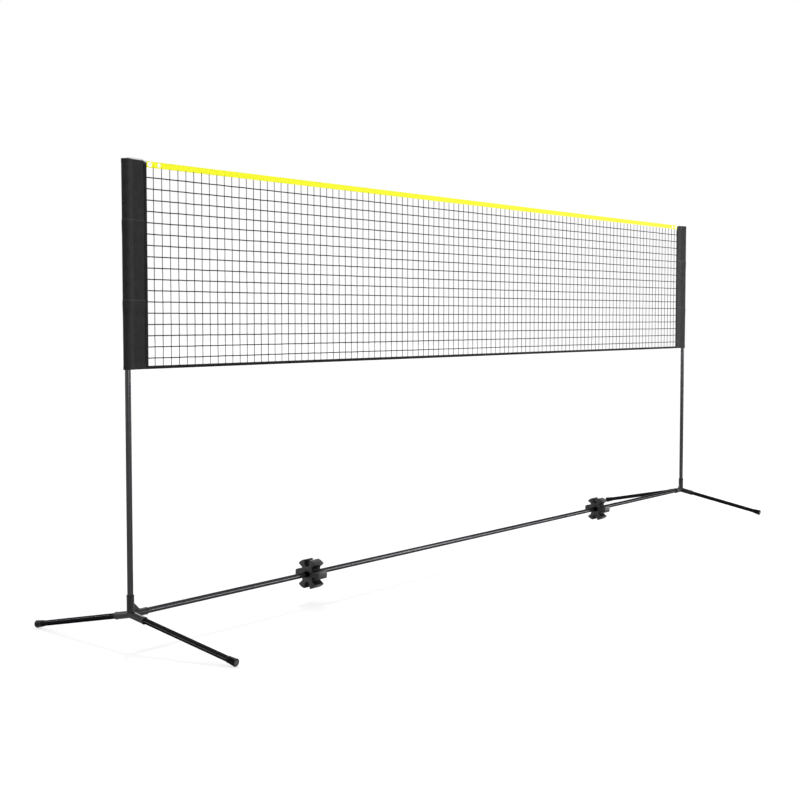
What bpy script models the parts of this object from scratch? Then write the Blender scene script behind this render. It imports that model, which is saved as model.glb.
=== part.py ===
"""A free-standing multisport net: a long net with cloth sleeves on a knock-down stand of black tube.

Metres, +Z up. The crossbar runs along X and the legs along Y. The origin is on the floor, under the
middle of the crossbar. Each end of the stand is built in its own frame, where +X points inboard.
"""

import math

import bmesh
import bpy

for leftover in list(bpy.data.objects):
    bpy.data.objects.remove(leftover, do_unlink=True)

# Stand
post_spacing = 4.080
bar_axis_height = 0.103
tube_diameter = 0.019
tube_wall = 0.0012
bar_section_count = 4
spigot_length = 0.050
spigot_wall = 0.0012
spigot_root = 0.0125
leg_slope = math.radians(11.2)

# Corner sockets
collar_wall = 0.00245
collar_up_length = 0.063
collar_bar_length = 0.070
collar_leg_length = 0.068
collar_lip_height = 0.0008
collar_lip_length = 0.004
socket_floor_margin = 0.00075
gusset_up = 0.039
gusset_along = 0.041
gusset_thickness = 0.0036
gusset_sunk = 0.0012

# Foot caps
foot_cap_flare = 0.0018
foot_cap_wall = 0.0014
foot_cap_length = 0.038
foot_cap_end = 0.005
sole_cut = 0.0006

# Telescoping posts and their spring clips
button_stops = 3
button_below_sleeve = 0.0205
post_inside_sleeve = 0.0145
post_overlap = 0.1447
upper_post_clearance = 0.003
upper_tube_wall = 0.0012
button_diameter = 0.006
button_stand_out = 0.0022
button_crown_height = 0.0018
button_crown_radius = 0.0018
button_tip_height = 0.0004
clip_strip_width = 0.005
clip_strip_thickness = 0.0008
clip_above_button = 0.0048
clip_length = 0.035
plug_head_height = 0.0092
plug_stem_length = 0.025

# Net
net_top_height = 1.550
net_bottom_height = 0.8855
tape_height = 0.020
tape_thickness = 0.0020
hem_height = 0.0105
hem_thickness = 0.0024
net_columns = 36
net_rows = 6
net_cord = 0.0020
eyelet_margin = 0.0029
eyelet_rim = 0.0022
eyelet_thickness = 0.0032
slot_eyelet_length = 0.0200
slot_eyelet_inset = 0.0038
eyelet_spacing = 0.0235

# Sleeves and the cords at their tops
sleeve_width = 0.089
sleeve_cloth = 0.0012
sleeve_ease = 0.0012
sleeve_taper = 0.0193
binding_cloth = 0.0008
binding_depth = 0.012
cord_diameter = 0.005
cord_bend = 0.0104
cord_drop = 0.0055
cord_drop_length = 0.0168
cord_level_end = 0.004
cord_tail = 0.005

# Storage hubs
hub_positions = (-1.140, 1.078)
hub_radius = 0.0560
hub_length = 0.050
hub_slot_width = 0.021
hub_slot_centre = 0.0385
hub_slot_flare = 0.0015
hub_slot_count = 6
hub_recess_gap = 0.0023
hub_recess_depth = 0.006

# Clearances
fit_gap = 0.0003
button_gap = 0.0003

# How finely round shapes are cut
tube_sides = 20
slot_sides = 16
button_sides = 12
arc_steps = 8
cord_steps = 6
hub_rim_steps = 4
weld_distance = 0.00001

tube_radius = tube_diameter / 2
tube_bore_radius = tube_radius - tube_wall
inner_tube_radius = tube_bore_radius - fit_gap
upper_bore_radius = inner_tube_radius - upper_tube_wall
socket_radius = tube_radius + fit_gap
collar_radius = socket_radius + collar_wall
socket_floor = collar_radius + socket_floor_margin
foot_cap_radius = socket_radius + foot_cap_wall + foot_cap_flare
leg_length = (bar_axis_height + sole_cut - foot_cap_radius * math.cos(leg_slope)) / math.sin(leg_slope)
post_foot = bar_axis_height + socket_floor + fit_gap
lower_post_top = net_bottom_height + post_inside_sleeve
upper_post_foot = lower_post_top - post_overlap
post_travel = upper_post_foot - upper_post_clearance - post_foot
upper_post_top = net_top_height - plug_head_height - fit_gap
button_pitch = post_travel / button_stops
button_height = net_bottom_height - button_below_sleeve
button_radius = button_diameter / 2
net_half_length = post_spacing / 2 - sleeve_width - fit_gap
tape_bottom = net_top_height - tape_height
hem_top = net_bottom_height + hem_height
eyelet_height = tape_height - 2 * eyelet_margin
cord_radius = cord_diameter / 2
cord_level = net_top_height + fit_gap + cord_radius

parts = bpy.data.collections.new("multisport_net")
helpers = bpy.data.collections.new("cutters")
for collection in (parts, helpers):
    bpy.context.scene.collection.children.link(collection)


def finish(name, colour, roughness, metallic=0.0):
    material = bpy.data.materials.new(name)
    material.use_nodes = True
    shader = material.node_tree.nodes["Principled BSDF"]
    shader.inputs["Base Color"].default_value = (*colour, 1.0)
    shader.inputs["Roughness"].default_value = roughness
    shader.inputs["Metallic"].default_value = metallic
    material.diffuse_color = (*colour, 1.0)
    return material


powder_coat = finish("black_powder_coat", (0.012, 0.012, 0.013), 0.32)
moulded_nylon = finish("black_moulded_nylon", (0.020, 0.020, 0.021), 0.45)
hub_plastic = finish("dark_grey_hub_plastic", (0.035, 0.035, 0.036), 0.50)
foot_rubber = finish("black_foot_rubber", (0.016, 0.016, 0.016), 0.70)
spring_steel = finish("spring_steel", (0.55, 0.55, 0.54), 0.30, 1.0)
sleeve_cloth_finish = finish("black_sleeve_cloth", (0.030, 0.030, 0.031), 0.90)
binding_finish = finish("black_binding_tape", (0.014, 0.014, 0.015), 0.85)
net_cord_finish = finish("black_net_cord", (0.018, 0.018, 0.018), 0.80)
yellow_tape = finish("yellow_band", (1.0, 0.92, 0.0), 0.60)
hem_finish = finish("black_hem_band", (0.020, 0.020, 0.021), 0.85)
cord_finish = finish("pale_grey_cord", (0.60, 0.60, 0.60), 0.80)
eyelet_metal = finish("nickel_eyelet", (0.80, 0.80, 0.80), 0.20, 1.0)


def end_frame(name, x, turn):
    """An empty at one end of the stand, turned so that its +X points inboard."""
    empty = bpy.data.objects.new(name, None)
    empty.location = (x, 0.0, 0.0)
    empty.rotation_euler = (0.0, 0.0, turn)
    parts.objects.link(empty)
    return empty


def add_object(name, data, material=None, parent=None, location=(0, 0, 0), rotation=(0, 0, 0)):
    """A part when it has a material, and otherwise a cutter or an addition that the build leaves out."""
    piece = bpy.data.objects.new(name, data)
    piece.parent = parent
    piece.location = location
    piece.rotation_euler = rotation
    if material:
        data.materials.append(material)
        parts.objects.link(piece)
    else:
        piece.hide_render = True
        piece.display_type = "WIRE"
        helpers.objects.link(piece)
    return piece


def turned(name, profile, material=None, ring=False, sides=tube_sides, start=0.0, **place):
    """A turned shape about its own Z; the profile's (radius, height) points run down the outer side."""
    points = [(radius * math.cos(start), radius * math.sin(start), height) for radius, height in profile]
    edges = [(i, i + 1) for i in range(len(points) - 1)]
    if ring:
        edges.append((len(points) - 1, 0))
    mesh = bpy.data.meshes.new(name)
    mesh.from_pydata(points, edges, [])
    piece = add_object(name, mesh, material, **place)
    screw = piece.modifiers.new("turn", "SCREW")
    screw.angle = math.tau
    screw.steps = screw.render_steps = sides
    screw.use_merge_vertices = True
    screw.merge_threshold = weld_distance
    screw.use_smooth_shade = True
    return piece


def tube_profile(outer, bore, low, high):
    return [(outer, high), (outer, low), (bore, low), (bore, high)]


def rod_profile(radius, low, high):
    return [(0.0, high), (radius, high), (radius, low), (0.0, low)]


def box(name, low, high, material=None, **place):
    mesh = bpy.data.meshes.new(name)
    shape = bmesh.new()
    bmesh.ops.create_cube(shape, size=1.0)
    for corner in shape.verts:
        corner.co = [lo + (hi - lo) * (share + 0.5) for lo, hi, share in zip(low, high, corner.co)]
    shape.to_mesh(mesh)
    shape.free()
    return add_object(name, mesh, material, **place)


def plate(name, outlines, thickness, material=None, **place):
    """A flat outline, with holes where it has more than one, thickened evenly along its own Z."""
    curve = bpy.data.curves.new(name, "CURVE")
    curve.dimensions = "2D"
    curve.fill_mode = "BOTH"
    curve.extrude = thickness / 2
    for outline in outlines:
        spline = curve.splines.new("POLY")
        spline.points.add(len(outline) - 1)
        for point, (x, y) in zip(spline.points, outline):
            point.co = (x, y, 0.0, 1.0)
        spline.use_cyclic_u = True
    return add_object(name, curve, material, **place)


def as_mesh(curve_piece):
    """The same piece as a welded mesh, which can take a Boolean."""
    bpy.context.view_layer.update()
    evaluated = curve_piece.evaluated_get(bpy.context.evaluated_depsgraph_get())
    mesh = bpy.data.meshes.new_from_object(evaluated)
    shape = bmesh.new()
    shape.from_mesh(mesh)
    bmesh.ops.remove_doubles(shape, verts=shape.verts, dist=weld_distance)
    bmesh.ops.recalc_face_normals(shape, faces=shape.faces)
    shape.to_mesh(mesh)
    shape.free()
    name = curve_piece.name
    home = curve_piece.users_collection[0]
    piece = bpy.data.objects.new(name + "_mesh", mesh)
    piece.parent = curve_piece.parent
    piece.location = curve_piece.location
    piece.rotation_euler = curve_piece.rotation_euler
    piece.hide_render = curve_piece.hide_render
    piece.display_type = curve_piece.display_type
    home.objects.link(piece)
    bpy.data.objects.remove(curve_piece, do_unlink=True)
    piece.name = name
    return piece


def combine(piece, operation, others):
    for other in others:
        boolean = piece.modifiers.new(operation.lower(), "BOOLEAN")
        boolean.operation = operation
        boolean.solver = "EXACT"
        boolean.object = other


def arc(centre, radius, start, end, steps):
    """Points on an arc, both ends included, angles in radians."""
    angles = [start + (end - start) * i / steps for i in range(steps + 1)]
    return [(centre[0] + radius * math.cos(a), centre[1] + radius * math.sin(a)) for a in angles]


# Directions for parts that are turned about their own Z or cut from a plate
ALONG_X = (0.0, math.pi / 2, 0.0)
FACING_X = (math.pi / 2, 0.0, math.pi / 2)
FACING_Y = (math.pi / 2, 0.0, 0.0)


def leg_direction(side):
    """Turns a part's own Z out and down along a leg; side is -1 for the front and 1 for the rear."""
    return (-side * (math.pi / 2 + leg_slope), 0.0, 0.0)


# Collars that meet have their sides half a step apart, so that no two edges fall on each other.
HALF_STEP = math.pi / tube_sides


def collar_profile(length):
    """A solid collar from its mouth inwards, as (radius, distance from the corner's centre)."""
    lip_radius = collar_radius + collar_lip_height
    lip_foot = length - collar_lip_length
    return [(lip_radius, length), (lip_radius, lip_foot), (collar_radius, lip_foot - collar_lip_height)]


def collar(name, length, material=None, **place):
    profile = [(0.0, length)] + collar_profile(length) + [(collar_radius, 0.0), (0.0, 0.0)]
    return turned(name, profile, material, **place)


def leg_collars(name, end):
    """The collars of both legs as one solid bar, bent down to each side under the post."""
    turns = [2 * HALF_STEP * (i + 0.5) for i in range(tube_sides)]
    rise, run = math.sin(leg_slope), math.cos(leg_slope)
    shape = bmesh.new()
    rings = [[shape.verts.new((collar_radius * math.cos(a), 0.0, collar_radius * math.sin(a) / run)) for a in turns]]
    for radius, along in reversed(collar_profile(collar_leg_length)):
        for side in (-1, 1):
            points = [(radius * math.cos(a), radius * math.sin(a)) for a in turns]
            ring = [shape.verts.new((x, side * (along * run + up * rise), up * run - along * rise)) for x, up in points]
            rings.insert(0 if side < 0 else len(rings), ring)
    for first, second in zip(rings, rings[1:]):
        for i in range(tube_sides):
            shape.faces.new((first[i - 1], first[i], second[i], second[i - 1]))
    shape.faces.new(rings[0])
    shape.faces.new(rings[-1])
    bmesh.ops.recalc_face_normals(shape, faces=shape.faces)
    mesh = bpy.data.meshes.new(name)
    shape.to_mesh(mesh)
    shape.free()
    return add_object(name, mesh, parent=end, location=(0.0, 0.0, bar_axis_height))


def corner_socket(name, end):
    """The moulded four-way corner: blind sockets for the post, the crossbar and two legs, and a gusset."""
    centre = (0.0, 0.0, bar_axis_height)
    body = collar(name, collar_up_length, moulded_nylon, parent=end, location=centre)
    bar_collar = collar(
        f"{name}_bar_collar", collar_bar_length, start=HALF_STEP, parent=end, location=centre, rotation=ALONG_X
    )
    rooted = collar_radius - gusset_sunk
    gusset_outline = [(0.0, 0.0), (gusset_along, 0.0), (gusset_along, rooted), (rooted, gusset_up), (0.0, gusset_up)]
    gusset = plate(
        name + "_gusset", [gusset_outline], gusset_thickness, parent=end, location=centre, rotation=FACING_Y
    )
    combine(body, "UNION", [leg_collars(name + "_leg_collars", end), bar_collar, as_mesh(gusset)])
    bores = []
    for socket, length, rotation in (
        ("post", collar_up_length, (0.0, 0.0, 0.0)),
        ("bar", collar_bar_length, ALONG_X),
        ("front", collar_leg_length, leg_direction(-1)),
        ("rear", collar_leg_length, leg_direction(1)),
    ):
        bore = rod_profile(socket_radius, socket_floor, length + collar_radius)
        bores.append(turned(f"{name}_{socket}_bore", bore, parent=end, location=centre, rotation=rotation))
    combine(body, "DIFFERENCE", bores)


def leg(place, end, side):
    """One leg: a plain tube from the floor of its socket to the floor of its foot cap."""
    tube_end = leg_length - foot_cap_end - fit_gap
    profile = tube_profile(tube_radius, tube_bore_radius, socket_floor + fit_gap, tube_end)
    turned(
        f"leg_{place}",
        profile,
        powder_coat,
        ring=True,
        parent=end,
        location=(0.0, 0.0, bar_axis_height),
        rotation=leg_direction(side),
    )


def foot_cap(place, end, side):
    """A flared rubber cap over the leg's end, cut flat where it stands."""
    mouth = leg_length - foot_cap_length
    floor = leg_length - foot_cap_end
    profile = [
        (0.0, leg_length),
        (foot_cap_radius, leg_length),
        (socket_radius + foot_cap_wall, mouth),
        (socket_radius, mouth),
        (socket_radius, floor),
        (0.0, floor),
    ]
    cap = turned(
        f"foot_cap_{place}",
        profile,
        foot_rubber,
        parent=end,
        location=(0.0, 0.0, bar_axis_height),
        rotation=leg_direction(side),
    )
    reach = leg_length + foot_cap_radius
    clear = 2 * foot_cap_radius
    ground = box(f"foot_cap_{place}_ground", (-clear, -reach, -clear), (clear, reach, 0.0), parent=end)
    combine(cap, "DIFFERENCE", [ground])


def bar_sections():
    """The crossbar's tubes, butted end to end, each with a swaged spigot inside the next."""
    start = -post_spacing / 2 + socket_floor + fit_gap
    length = (-2 * start - (bar_section_count - 1) * fit_gap) / bar_section_count
    spigot_radius = tube_bore_radius - fit_gap
    spigot_bore = spigot_radius - spigot_wall
    shoulder = length - spigot_root
    for number in range(bar_section_count):
        if number < bar_section_count - 1:
            profile = [
                (spigot_radius, length + spigot_length),
                (spigot_radius, length),
                (tube_radius, length),
                (tube_radius, 0.0),
                (tube_bore_radius, 0.0),
                (tube_bore_radius, shoulder - spigot_wall),
                (spigot_bore, shoulder),
                (spigot_bore, length + spigot_length),
            ]
        else:
            profile = tube_profile(tube_radius, tube_bore_radius, 0.0, length)
        turned(
            f"crossbar_section_{number + 1}",
            profile,
            powder_coat,
            ring=True,
            location=(start + number * (length + fit_gap), 0.0, bar_axis_height),
            rotation=ALONG_X,
        )


def lower_post(side_name, end):
    """The post's outer tube, with a row of button holes at the rear."""
    rear = rear_of(end)
    post = turned(
        f"lower_post_{side_name}",
        tube_profile(tube_radius, tube_bore_radius, post_foot, lower_post_top),
        powder_coat,
        ring=True,
        parent=end,
    )
    holes = []
    for stop in range(button_stops + 1):
        height = button_height - stop * button_pitch
        holes.append(button_hole(f"lower_post_{side_name}_hole_{stop}", end, rear, height))
    combine(post, "DIFFERENCE", holes)


def rear_of(end):
    """The sign of the world's +Y in the frame of one end of the stand."""
    return 1 if abs(end.rotation_euler.z) < 0.1 else -1


def button_hole(name, end, rear, height):
    hole = rod_profile(button_radius + button_gap, 0.0, tube_diameter)
    turned_over = (-rear * math.pi / 2, 0.0, 0.0)
    return turned(name, hole, sides=button_sides, parent=end, location=(0.0, 0.0, height), rotation=turned_over)


def upper_post(side_name, end):
    """The inner tube that carries the net and slides in the lower post."""
    rear = rear_of(end)
    post = turned(
        f"upper_post_{side_name}",
        tube_profile(inner_tube_radius, upper_bore_radius, upper_post_foot, upper_post_top),
        powder_coat,
        ring=True,
        parent=end,
    )
    combine(post, "DIFFERENCE", [button_hole(f"upper_post_{side_name}_hole", end, rear, button_height)])


def spring_clip(side_name, end):
    """A bent strip of spring steel inside the upper post; its nose is the button in the holes."""
    rear = rear_of(end)
    fitted = upper_bore_radius * math.cos(math.pi / tube_sides) - fit_gap
    reach = math.sqrt(fitted**2 - (clip_strip_width / 2) ** 2) - clip_strip_thickness / 2
    strip = [(reach, clip_above_button)]
    strip += arc((0.0, reach - clip_length), reach, 0.0, -math.pi, arc_steps)
    strip += [(-reach, 0.0)]
    mesh = bpy.data.meshes.new(f"spring_clip_{side_name}")
    shape = bmesh.new()
    line = [shape.verts.new((-clip_strip_width / 2, rear * y, z)) for y, z in strip]
    edges = [shape.edges.new(pair) for pair in zip(line, line[1:])]
    swept = bmesh.ops.extrude_edge_only(shape, edges=edges)["geom"]
    moved = [item for item in swept if isinstance(item, bmesh.types.BMVert)]
    bmesh.ops.translate(shape, vec=(clip_strip_width, 0.0, 0.0), verts=moved)
    bmesh.ops.recalc_face_normals(shape, faces=shape.faces)
    shape.to_mesh(mesh)
    shape.free()
    clip = add_object(mesh.name, mesh, spring_steel, parent=end, location=(0.0, 0.0, button_height))
    solid = clip.modifiers.new("strip", "SOLIDIFY")
    solid.thickness = clip_strip_thickness
    solid.offset = 0.0
    tip = tube_radius + button_stand_out
    profile = [
        (0.0, tip),
        (button_crown_radius, tip - button_tip_height),
        (button_radius, tip - button_crown_height),
        (button_radius, reach),
        (0.0, reach),
    ]
    nose = turned(
        f"spring_clip_{side_name}_nose",
        profile,
        sides=button_sides,
        parent=end,
        location=(0.0, 0.0, button_height),
        rotation=(-rear * math.pi / 2, 0.0, 0.0),
    )
    combine(clip, "UNION", [nose])


def post_plug(side_name, end):
    """The plug in the top of the upper post, slotted inboard for the cord that ends in it."""
    stem_radius = upper_bore_radius - fit_gap
    head_radius = tube_radius
    profile = [
        (0.0, net_top_height),
        (head_radius, net_top_height),
        (head_radius, upper_post_top + fit_gap),
        (stem_radius, upper_post_top + fit_gap),
        (stem_radius, upper_post_top - plug_stem_length),
        (0.0, upper_post_top - plug_stem_length),
    ]
    plug = turned(f"post_top_plug_{side_name}", profile, moulded_nylon, parent=end)
    half_slot = cord_radius + fit_gap
    foot = cord_level - cord_bend - cord_tail - fit_gap
    bore = turned(
        f"post_top_plug_{side_name}_bore",
        rod_profile(half_slot, foot, cord_level + cord_diameter),
        sides=slot_sides,
        parent=end,
    )
    slot = box(
        f"post_top_plug_{side_name}_slot",
        (0.0, -half_slot, cord_level - cord_bend),
        (2 * head_radius, half_slot, cord_level + cord_diameter),
        parent=end,
    )
    combine(plug, "DIFFERENCE", [bore, slot])


def cord_drop_points():
    """The cord's centre as it dips to the end of the band, and how far below it the cloth is cut."""
    start = sleeve_width - cord_level_end - cord_drop_length
    points = []
    for step in range(cord_steps + 1):
        turn = math.pi * step / cord_steps
        slope = math.pi * cord_drop * math.sin(turn) / (2 * cord_drop_length)
        below = (cord_radius + fit_gap) * math.hypot(1.0, slope)
        x = start + cord_drop_length * step / cord_steps
        points.append((x, cord_level - cord_drop * (1 - math.cos(turn)) / 2, below))
    return points


def tension_cord(side_name, end):
    """The cord from the plug, over the top edge of the sleeve, to the end of the yellow band."""
    foot = cord_level - cord_bend
    route = [(0.0, foot - cord_tail)]
    route += arc((cord_bend, foot), cord_bend, math.pi, math.pi / 2, cord_steps)
    route += [(x, z) for x, z, below in cord_drop_points()]
    route.append((sleeve_width, cord_level - cord_drop))
    curve = bpy.data.curves.new(f"tension_cord_{side_name}", "CURVE")
    curve.dimensions = "3D"
    curve.bevel_depth = cord_radius
    curve.bevel_resolution = 2
    curve.use_fill_caps = True
    spline = curve.splines.new("POLY")
    spline.points.add(len(route) - 1)
    for point, (x, z) in zip(spline.points, route):
        point.co = (x, 0.0, z, 1.0)
    add_object(curve.name, curve, cord_finish, parent=end)


def teardrop(radius, point_x, point_y, steps):
    """A loop round the post that runs out to a point inboard, tangent to the circle."""
    tangent = math.atan2(point_y, point_x) + math.acos(radius / math.hypot(point_x, point_y))
    return arc((0.0, 0.0), radius, tangent, math.tau - tangent, steps)


def sleeve(side_name, end):
    """A cloth sleeve: a channel round the post, then two plies laid flat out to the net."""
    channel = tube_radius + sleeve_ease
    flat_start = channel + sleeve_taper
    edge = sleeve_width - binding_cloth - fit_gap
    outer = teardrop(channel + sleeve_cloth, flat_start, sleeve_cloth, 2 * arc_steps)
    outer += [(flat_start, -sleeve_cloth), (edge, -sleeve_cloth), (edge, sleeve_cloth), (flat_start, sleeve_cloth)]
    seam = flat_start - sleeve_cloth / 2
    inner = teardrop(channel, seam, 0.0, 2 * arc_steps) + [(seam, 0.0)]
    height = net_top_height - net_bottom_height
    blank = plate(
        f"sleeve_{side_name}",
        [outer, inner],
        height,
        sleeve_cloth_finish,
        parent=end,
        location=(0.0, 0.0, net_bottom_height + height / 2),
    )
    piece = as_mesh(blank)
    clear = cord_diameter
    notch_outline = [(x, z - below) for x, z, below in cord_drop_points()]
    notch_outline += [
        (sleeve_width + clear, net_top_height - cord_drop),
        (sleeve_width + clear, net_top_height + clear),
        (notch_outline[0][0], net_top_height + clear),
    ]
    notch = plate(
        f"sleeve_{side_name}_notch", [notch_outline], cord_diameter * 2, parent=end, rotation=FACING_Y
    )
    combine(piece, "DIFFERENCE", [as_mesh(notch)])


def side_binding(side_name, end):
    """A folded tape over the sleeve's inner edge, to which the net is sewn."""
    edge = sleeve_width - binding_cloth
    half_gap = sleeve_cloth + fit_gap
    half = half_gap + binding_cloth
    back = sleeve_width - binding_depth
    outline = [
        (back, -half),
        (sleeve_width, -half),
        (sleeve_width, half),
        (back, half),
        (back, half_gap),
        (edge, half_gap),
        (edge, -half_gap),
        (back, -half_gap),
    ]
    top = net_top_height - cord_drop
    height = top - net_bottom_height
    plate(
        f"side_binding_{side_name}",
        [outline],
        height,
        binding_finish,
        parent=end,
        location=(0.0, 0.0, net_bottom_height + height / 2),
    )


def stadium(length, height):
    """A slot's outline about its centre: two straight runs between half circles."""
    radius = height / 2
    run = max(length - height, 0.0) / 2
    right = arc((run, 0.0), radius, -math.pi / 2, math.pi / 2, arc_steps)
    left = arc((-run, 0.0), radius, math.pi / 2, 1.5 * math.pi, arc_steps)
    if run:
        return right + left
    return right[:-1] + left[:-1]


def eyelet_centres():
    """Each eyelet's length and its distance inboard from the post's axis."""
    slot_centre = sleeve_width + fit_gap + slot_eyelet_inset + slot_eyelet_length / 2
    round_centre = slot_centre + (slot_eyelet_length + eyelet_height) / 2 + eyelet_spacing
    return [("slot", slot_eyelet_length, slot_centre), ("round", eyelet_height, round_centre)]


def eyelets(side_name, end):
    """Pressed rings in the band's end: a slot beside the sleeve and a round hole next to it."""
    for shape, length, centre in eyelet_centres():
        outlines = [stadium(length, eyelet_height), stadium(length - 2 * eyelet_rim, eyelet_height - 2 * eyelet_rim)]
        plate(
            f"{shape}_eyelet_{side_name}",
            outlines,
            eyelet_thickness,
            eyelet_metal,
            parent=end,
            location=(centre, 0.0, net_top_height - tape_height / 2),
            rotation=FACING_Y,
        )


def top_band(ends):
    """The yellow band along the top of the net, with holes for the eyelets."""
    band = box(
        "top_band",
        (-net_half_length, -tape_thickness / 2, tape_bottom),
        (net_half_length, tape_thickness / 2, net_top_height),
        yellow_tape,
    )
    holes = []
    for side_name, end in ends:
        for shape, length, centre in eyelet_centres():
            outline = stadium(length + 2 * fit_gap, eyelet_height + 2 * fit_gap)
            hole = plate(
                f"top_band_{shape}_hole_{side_name}",
                [outline],
                4 * tape_thickness,
                parent=end,
                location=(centre, 0.0, net_top_height - tape_height / 2),
                rotation=FACING_Y,
            )
            holes.append(as_mesh(hole))
    combine(band, "DIFFERENCE", holes)


def bottom_hem():
    box(
        "bottom_hem",
        (-net_half_length, -hem_thickness / 2, net_bottom_height),
        (net_half_length, hem_thickness / 2, hem_top),
        hem_finish,
    )


def net_mesh():
    """The netting, with every third cord of the real one each way, so each gap stands for nine."""
    low = hem_top + fit_gap
    high = tape_bottom - fit_gap
    shape = bmesh.new()
    bmesh.ops.create_grid(shape, x_segments=net_columns, y_segments=net_rows, size=0.5)
    for corner in shape.verts:
        corner.co = (2 * net_half_length * corner.co.x, 0.0, low + (high - low) * (corner.co.y + 0.5))
    shape.normal_update()
    gaps = shape.faces[:]
    bmesh.ops.inset_individual(shape, faces=gaps, thickness=net_cord / 2, use_even_offset=True)
    bmesh.ops.delete(shape, geom=gaps, context="FACES")
    bmesh.ops.recalc_face_normals(shape, faces=shape.faces)
    mesh = bpy.data.meshes.new("net_mesh")
    shape.to_mesh(mesh)
    shape.free()
    net = add_object("net_mesh", mesh, net_cord_finish)
    solid = net.modifiers.new("cord", "SOLIDIFY")
    solid.thickness = net_cord
    solid.offset = 0.0


def hub_outline():
    """Six T-headed arms: a disc with round-bottomed slots, flared a little at their mouths."""
    half = hub_slot_width / 2
    mouth_half = half + hub_slot_flare
    mouth_angle = math.asin(mouth_half / hub_radius)
    pitch = math.tau / hub_slot_count
    points = []
    for number in range(hub_slot_count):
        turn = pitch * (number + 0.5)
        bottom = arc((hub_slot_centre, 0.0), half, -math.pi / 2, -1.5 * math.pi, arc_steps)
        c, s = math.cos(turn), math.sin(turn)
        points += [(x * c - y * s, x * s + y * c) for x, y in bottom]
        points += arc((0.0, 0.0), hub_radius, turn + mouth_angle, turn + pitch - mouth_angle, hub_rim_steps)
    return points


def storage_hub(name, x):
    """A moulded hub that slides on the crossbar and cradles the tubes when the stand is packed."""
    blank = plate(
        name,
        [hub_outline()],
        hub_length,
        hub_plastic,
        location=(x, 0.0, bar_axis_height),
        rotation=FACING_X,
    )
    hub = as_mesh(blank)
    recess_radius = tube_radius + hub_recess_gap
    seat = hub_length / 2 - hub_recess_depth
    past_face = hub_length / 2 + hub_recess_depth
    profile = [
        (0.0, past_face),
        (recess_radius, past_face),
        (recess_radius, seat),
        (socket_radius, seat),
        (socket_radius, -seat),
        (recess_radius, -seat),
        (recess_radius, -past_face),
        (0.0, -past_face),
    ]
    bore = turned(name + "_bore", profile, location=(x, 0.0, bar_axis_height), rotation=ALONG_X)
    combine(hub, "DIFFERENCE", [bore])


ends = [
    ("left", end_frame("left_end", -post_spacing / 2, 0.0)),
    ("right", end_frame("right_end", post_spacing / 2, math.pi)),
]
for side_name, end in ends:
    corner_socket(f"corner_socket_{side_name}", end)
    for row, rear_sign in (("front", -1), ("rear", 1)):
        leg(f"{row}_{side_name}", end, rear_sign * rear_of(end))
        foot_cap(f"{row}_{side_name}", end, rear_sign * rear_of(end))
    lower_post(side_name, end)
    upper_post(side_name, end)
    spring_clip(side_name, end)
    post_plug(side_name, end)
    tension_cord(side_name, end)
    sleeve(side_name, end)
    side_binding(side_name, end)
    eyelets(side_name, end)
bar_sections()
top_band(ends)
bottom_hem()
net_mesh()
for hub_name, hub_x in zip(("storage_hub_left", "storage_hub_right"), hub_positions):
    storage_hub(hub_name, hub_x)
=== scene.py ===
"""The multisport net as it stands in the photograph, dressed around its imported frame.

Metres, +Z up. The crossbar and the net run along X, the legs along Y. Each end of the stand has its own
place, where +X points inboard.
"""

import math
from functools import partial

import bmesh
import bpy
from mathutils import Matrix, Vector, noise


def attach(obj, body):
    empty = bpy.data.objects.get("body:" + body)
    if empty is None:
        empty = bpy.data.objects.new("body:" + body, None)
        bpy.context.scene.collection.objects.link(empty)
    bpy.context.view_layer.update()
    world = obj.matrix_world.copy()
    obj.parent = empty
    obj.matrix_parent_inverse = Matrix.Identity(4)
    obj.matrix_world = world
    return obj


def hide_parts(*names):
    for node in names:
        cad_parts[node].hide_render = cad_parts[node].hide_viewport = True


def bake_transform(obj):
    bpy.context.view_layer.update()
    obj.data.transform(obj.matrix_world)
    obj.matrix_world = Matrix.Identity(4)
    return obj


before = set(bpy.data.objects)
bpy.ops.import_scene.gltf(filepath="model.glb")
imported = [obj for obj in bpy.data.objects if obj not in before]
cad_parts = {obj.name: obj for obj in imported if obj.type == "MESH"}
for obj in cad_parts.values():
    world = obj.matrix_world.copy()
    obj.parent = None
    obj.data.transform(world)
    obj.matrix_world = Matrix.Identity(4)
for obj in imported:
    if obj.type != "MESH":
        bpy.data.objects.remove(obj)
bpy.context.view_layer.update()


# Camera
# The photograph is a long-lens studio view from the front left, a little above the middle of the posts,
# worked out from the vanishing points of the crossbar, the hem and the yellow band.
camera_dip = 3.32
camera_heading = -53.71


def set_out(name, data):
    """A new object in the scene."""
    thing = bpy.data.objects.new(name, data)
    bpy.context.scene.collection.objects.link(thing)
    return thing


camera = set_out("camera", bpy.data.cameras.new("camera"))
camera.location = (-5.1309, -3.3397, 1.0491)
camera.rotation_euler = (math.radians(90 - camera_dip), 0.0, math.radians(camera_heading))
camera.data.sensor_width = 36.0
camera.data.lens = 63.48
bpy.context.scene.camera = camera

# Tension cords
# A thin pale grey braided polyester cord runs from the plug in each post, over the top edge of the sleeve,
# to the end of the yellow band. It is drawn tight, and turns down into the plug's slot.
mm = 0.001
post_x = 2.040
net_top = 1.550
net_bottom = 0.8855
sleeve_width = 89 * mm
cord_radius = 2.5 * mm
cord_bend = 10.4 * mm
cord_tail = 5 * mm
cord_drop = 5.5 * mm
cord_drop_length = 16.8 * mm
cord_drop_start = sleeve_width - 4 * mm - cord_drop_length
cord_level = net_top + 0.3 * mm + cord_radius
end_places = {
    "left": Matrix.Translation((-post_x, 0.0, 0.0)),
    "right": Matrix.Translation((post_x, 0.0, 0.0)) @ Matrix.Rotation(math.pi, 4, "Z"),
}


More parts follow.
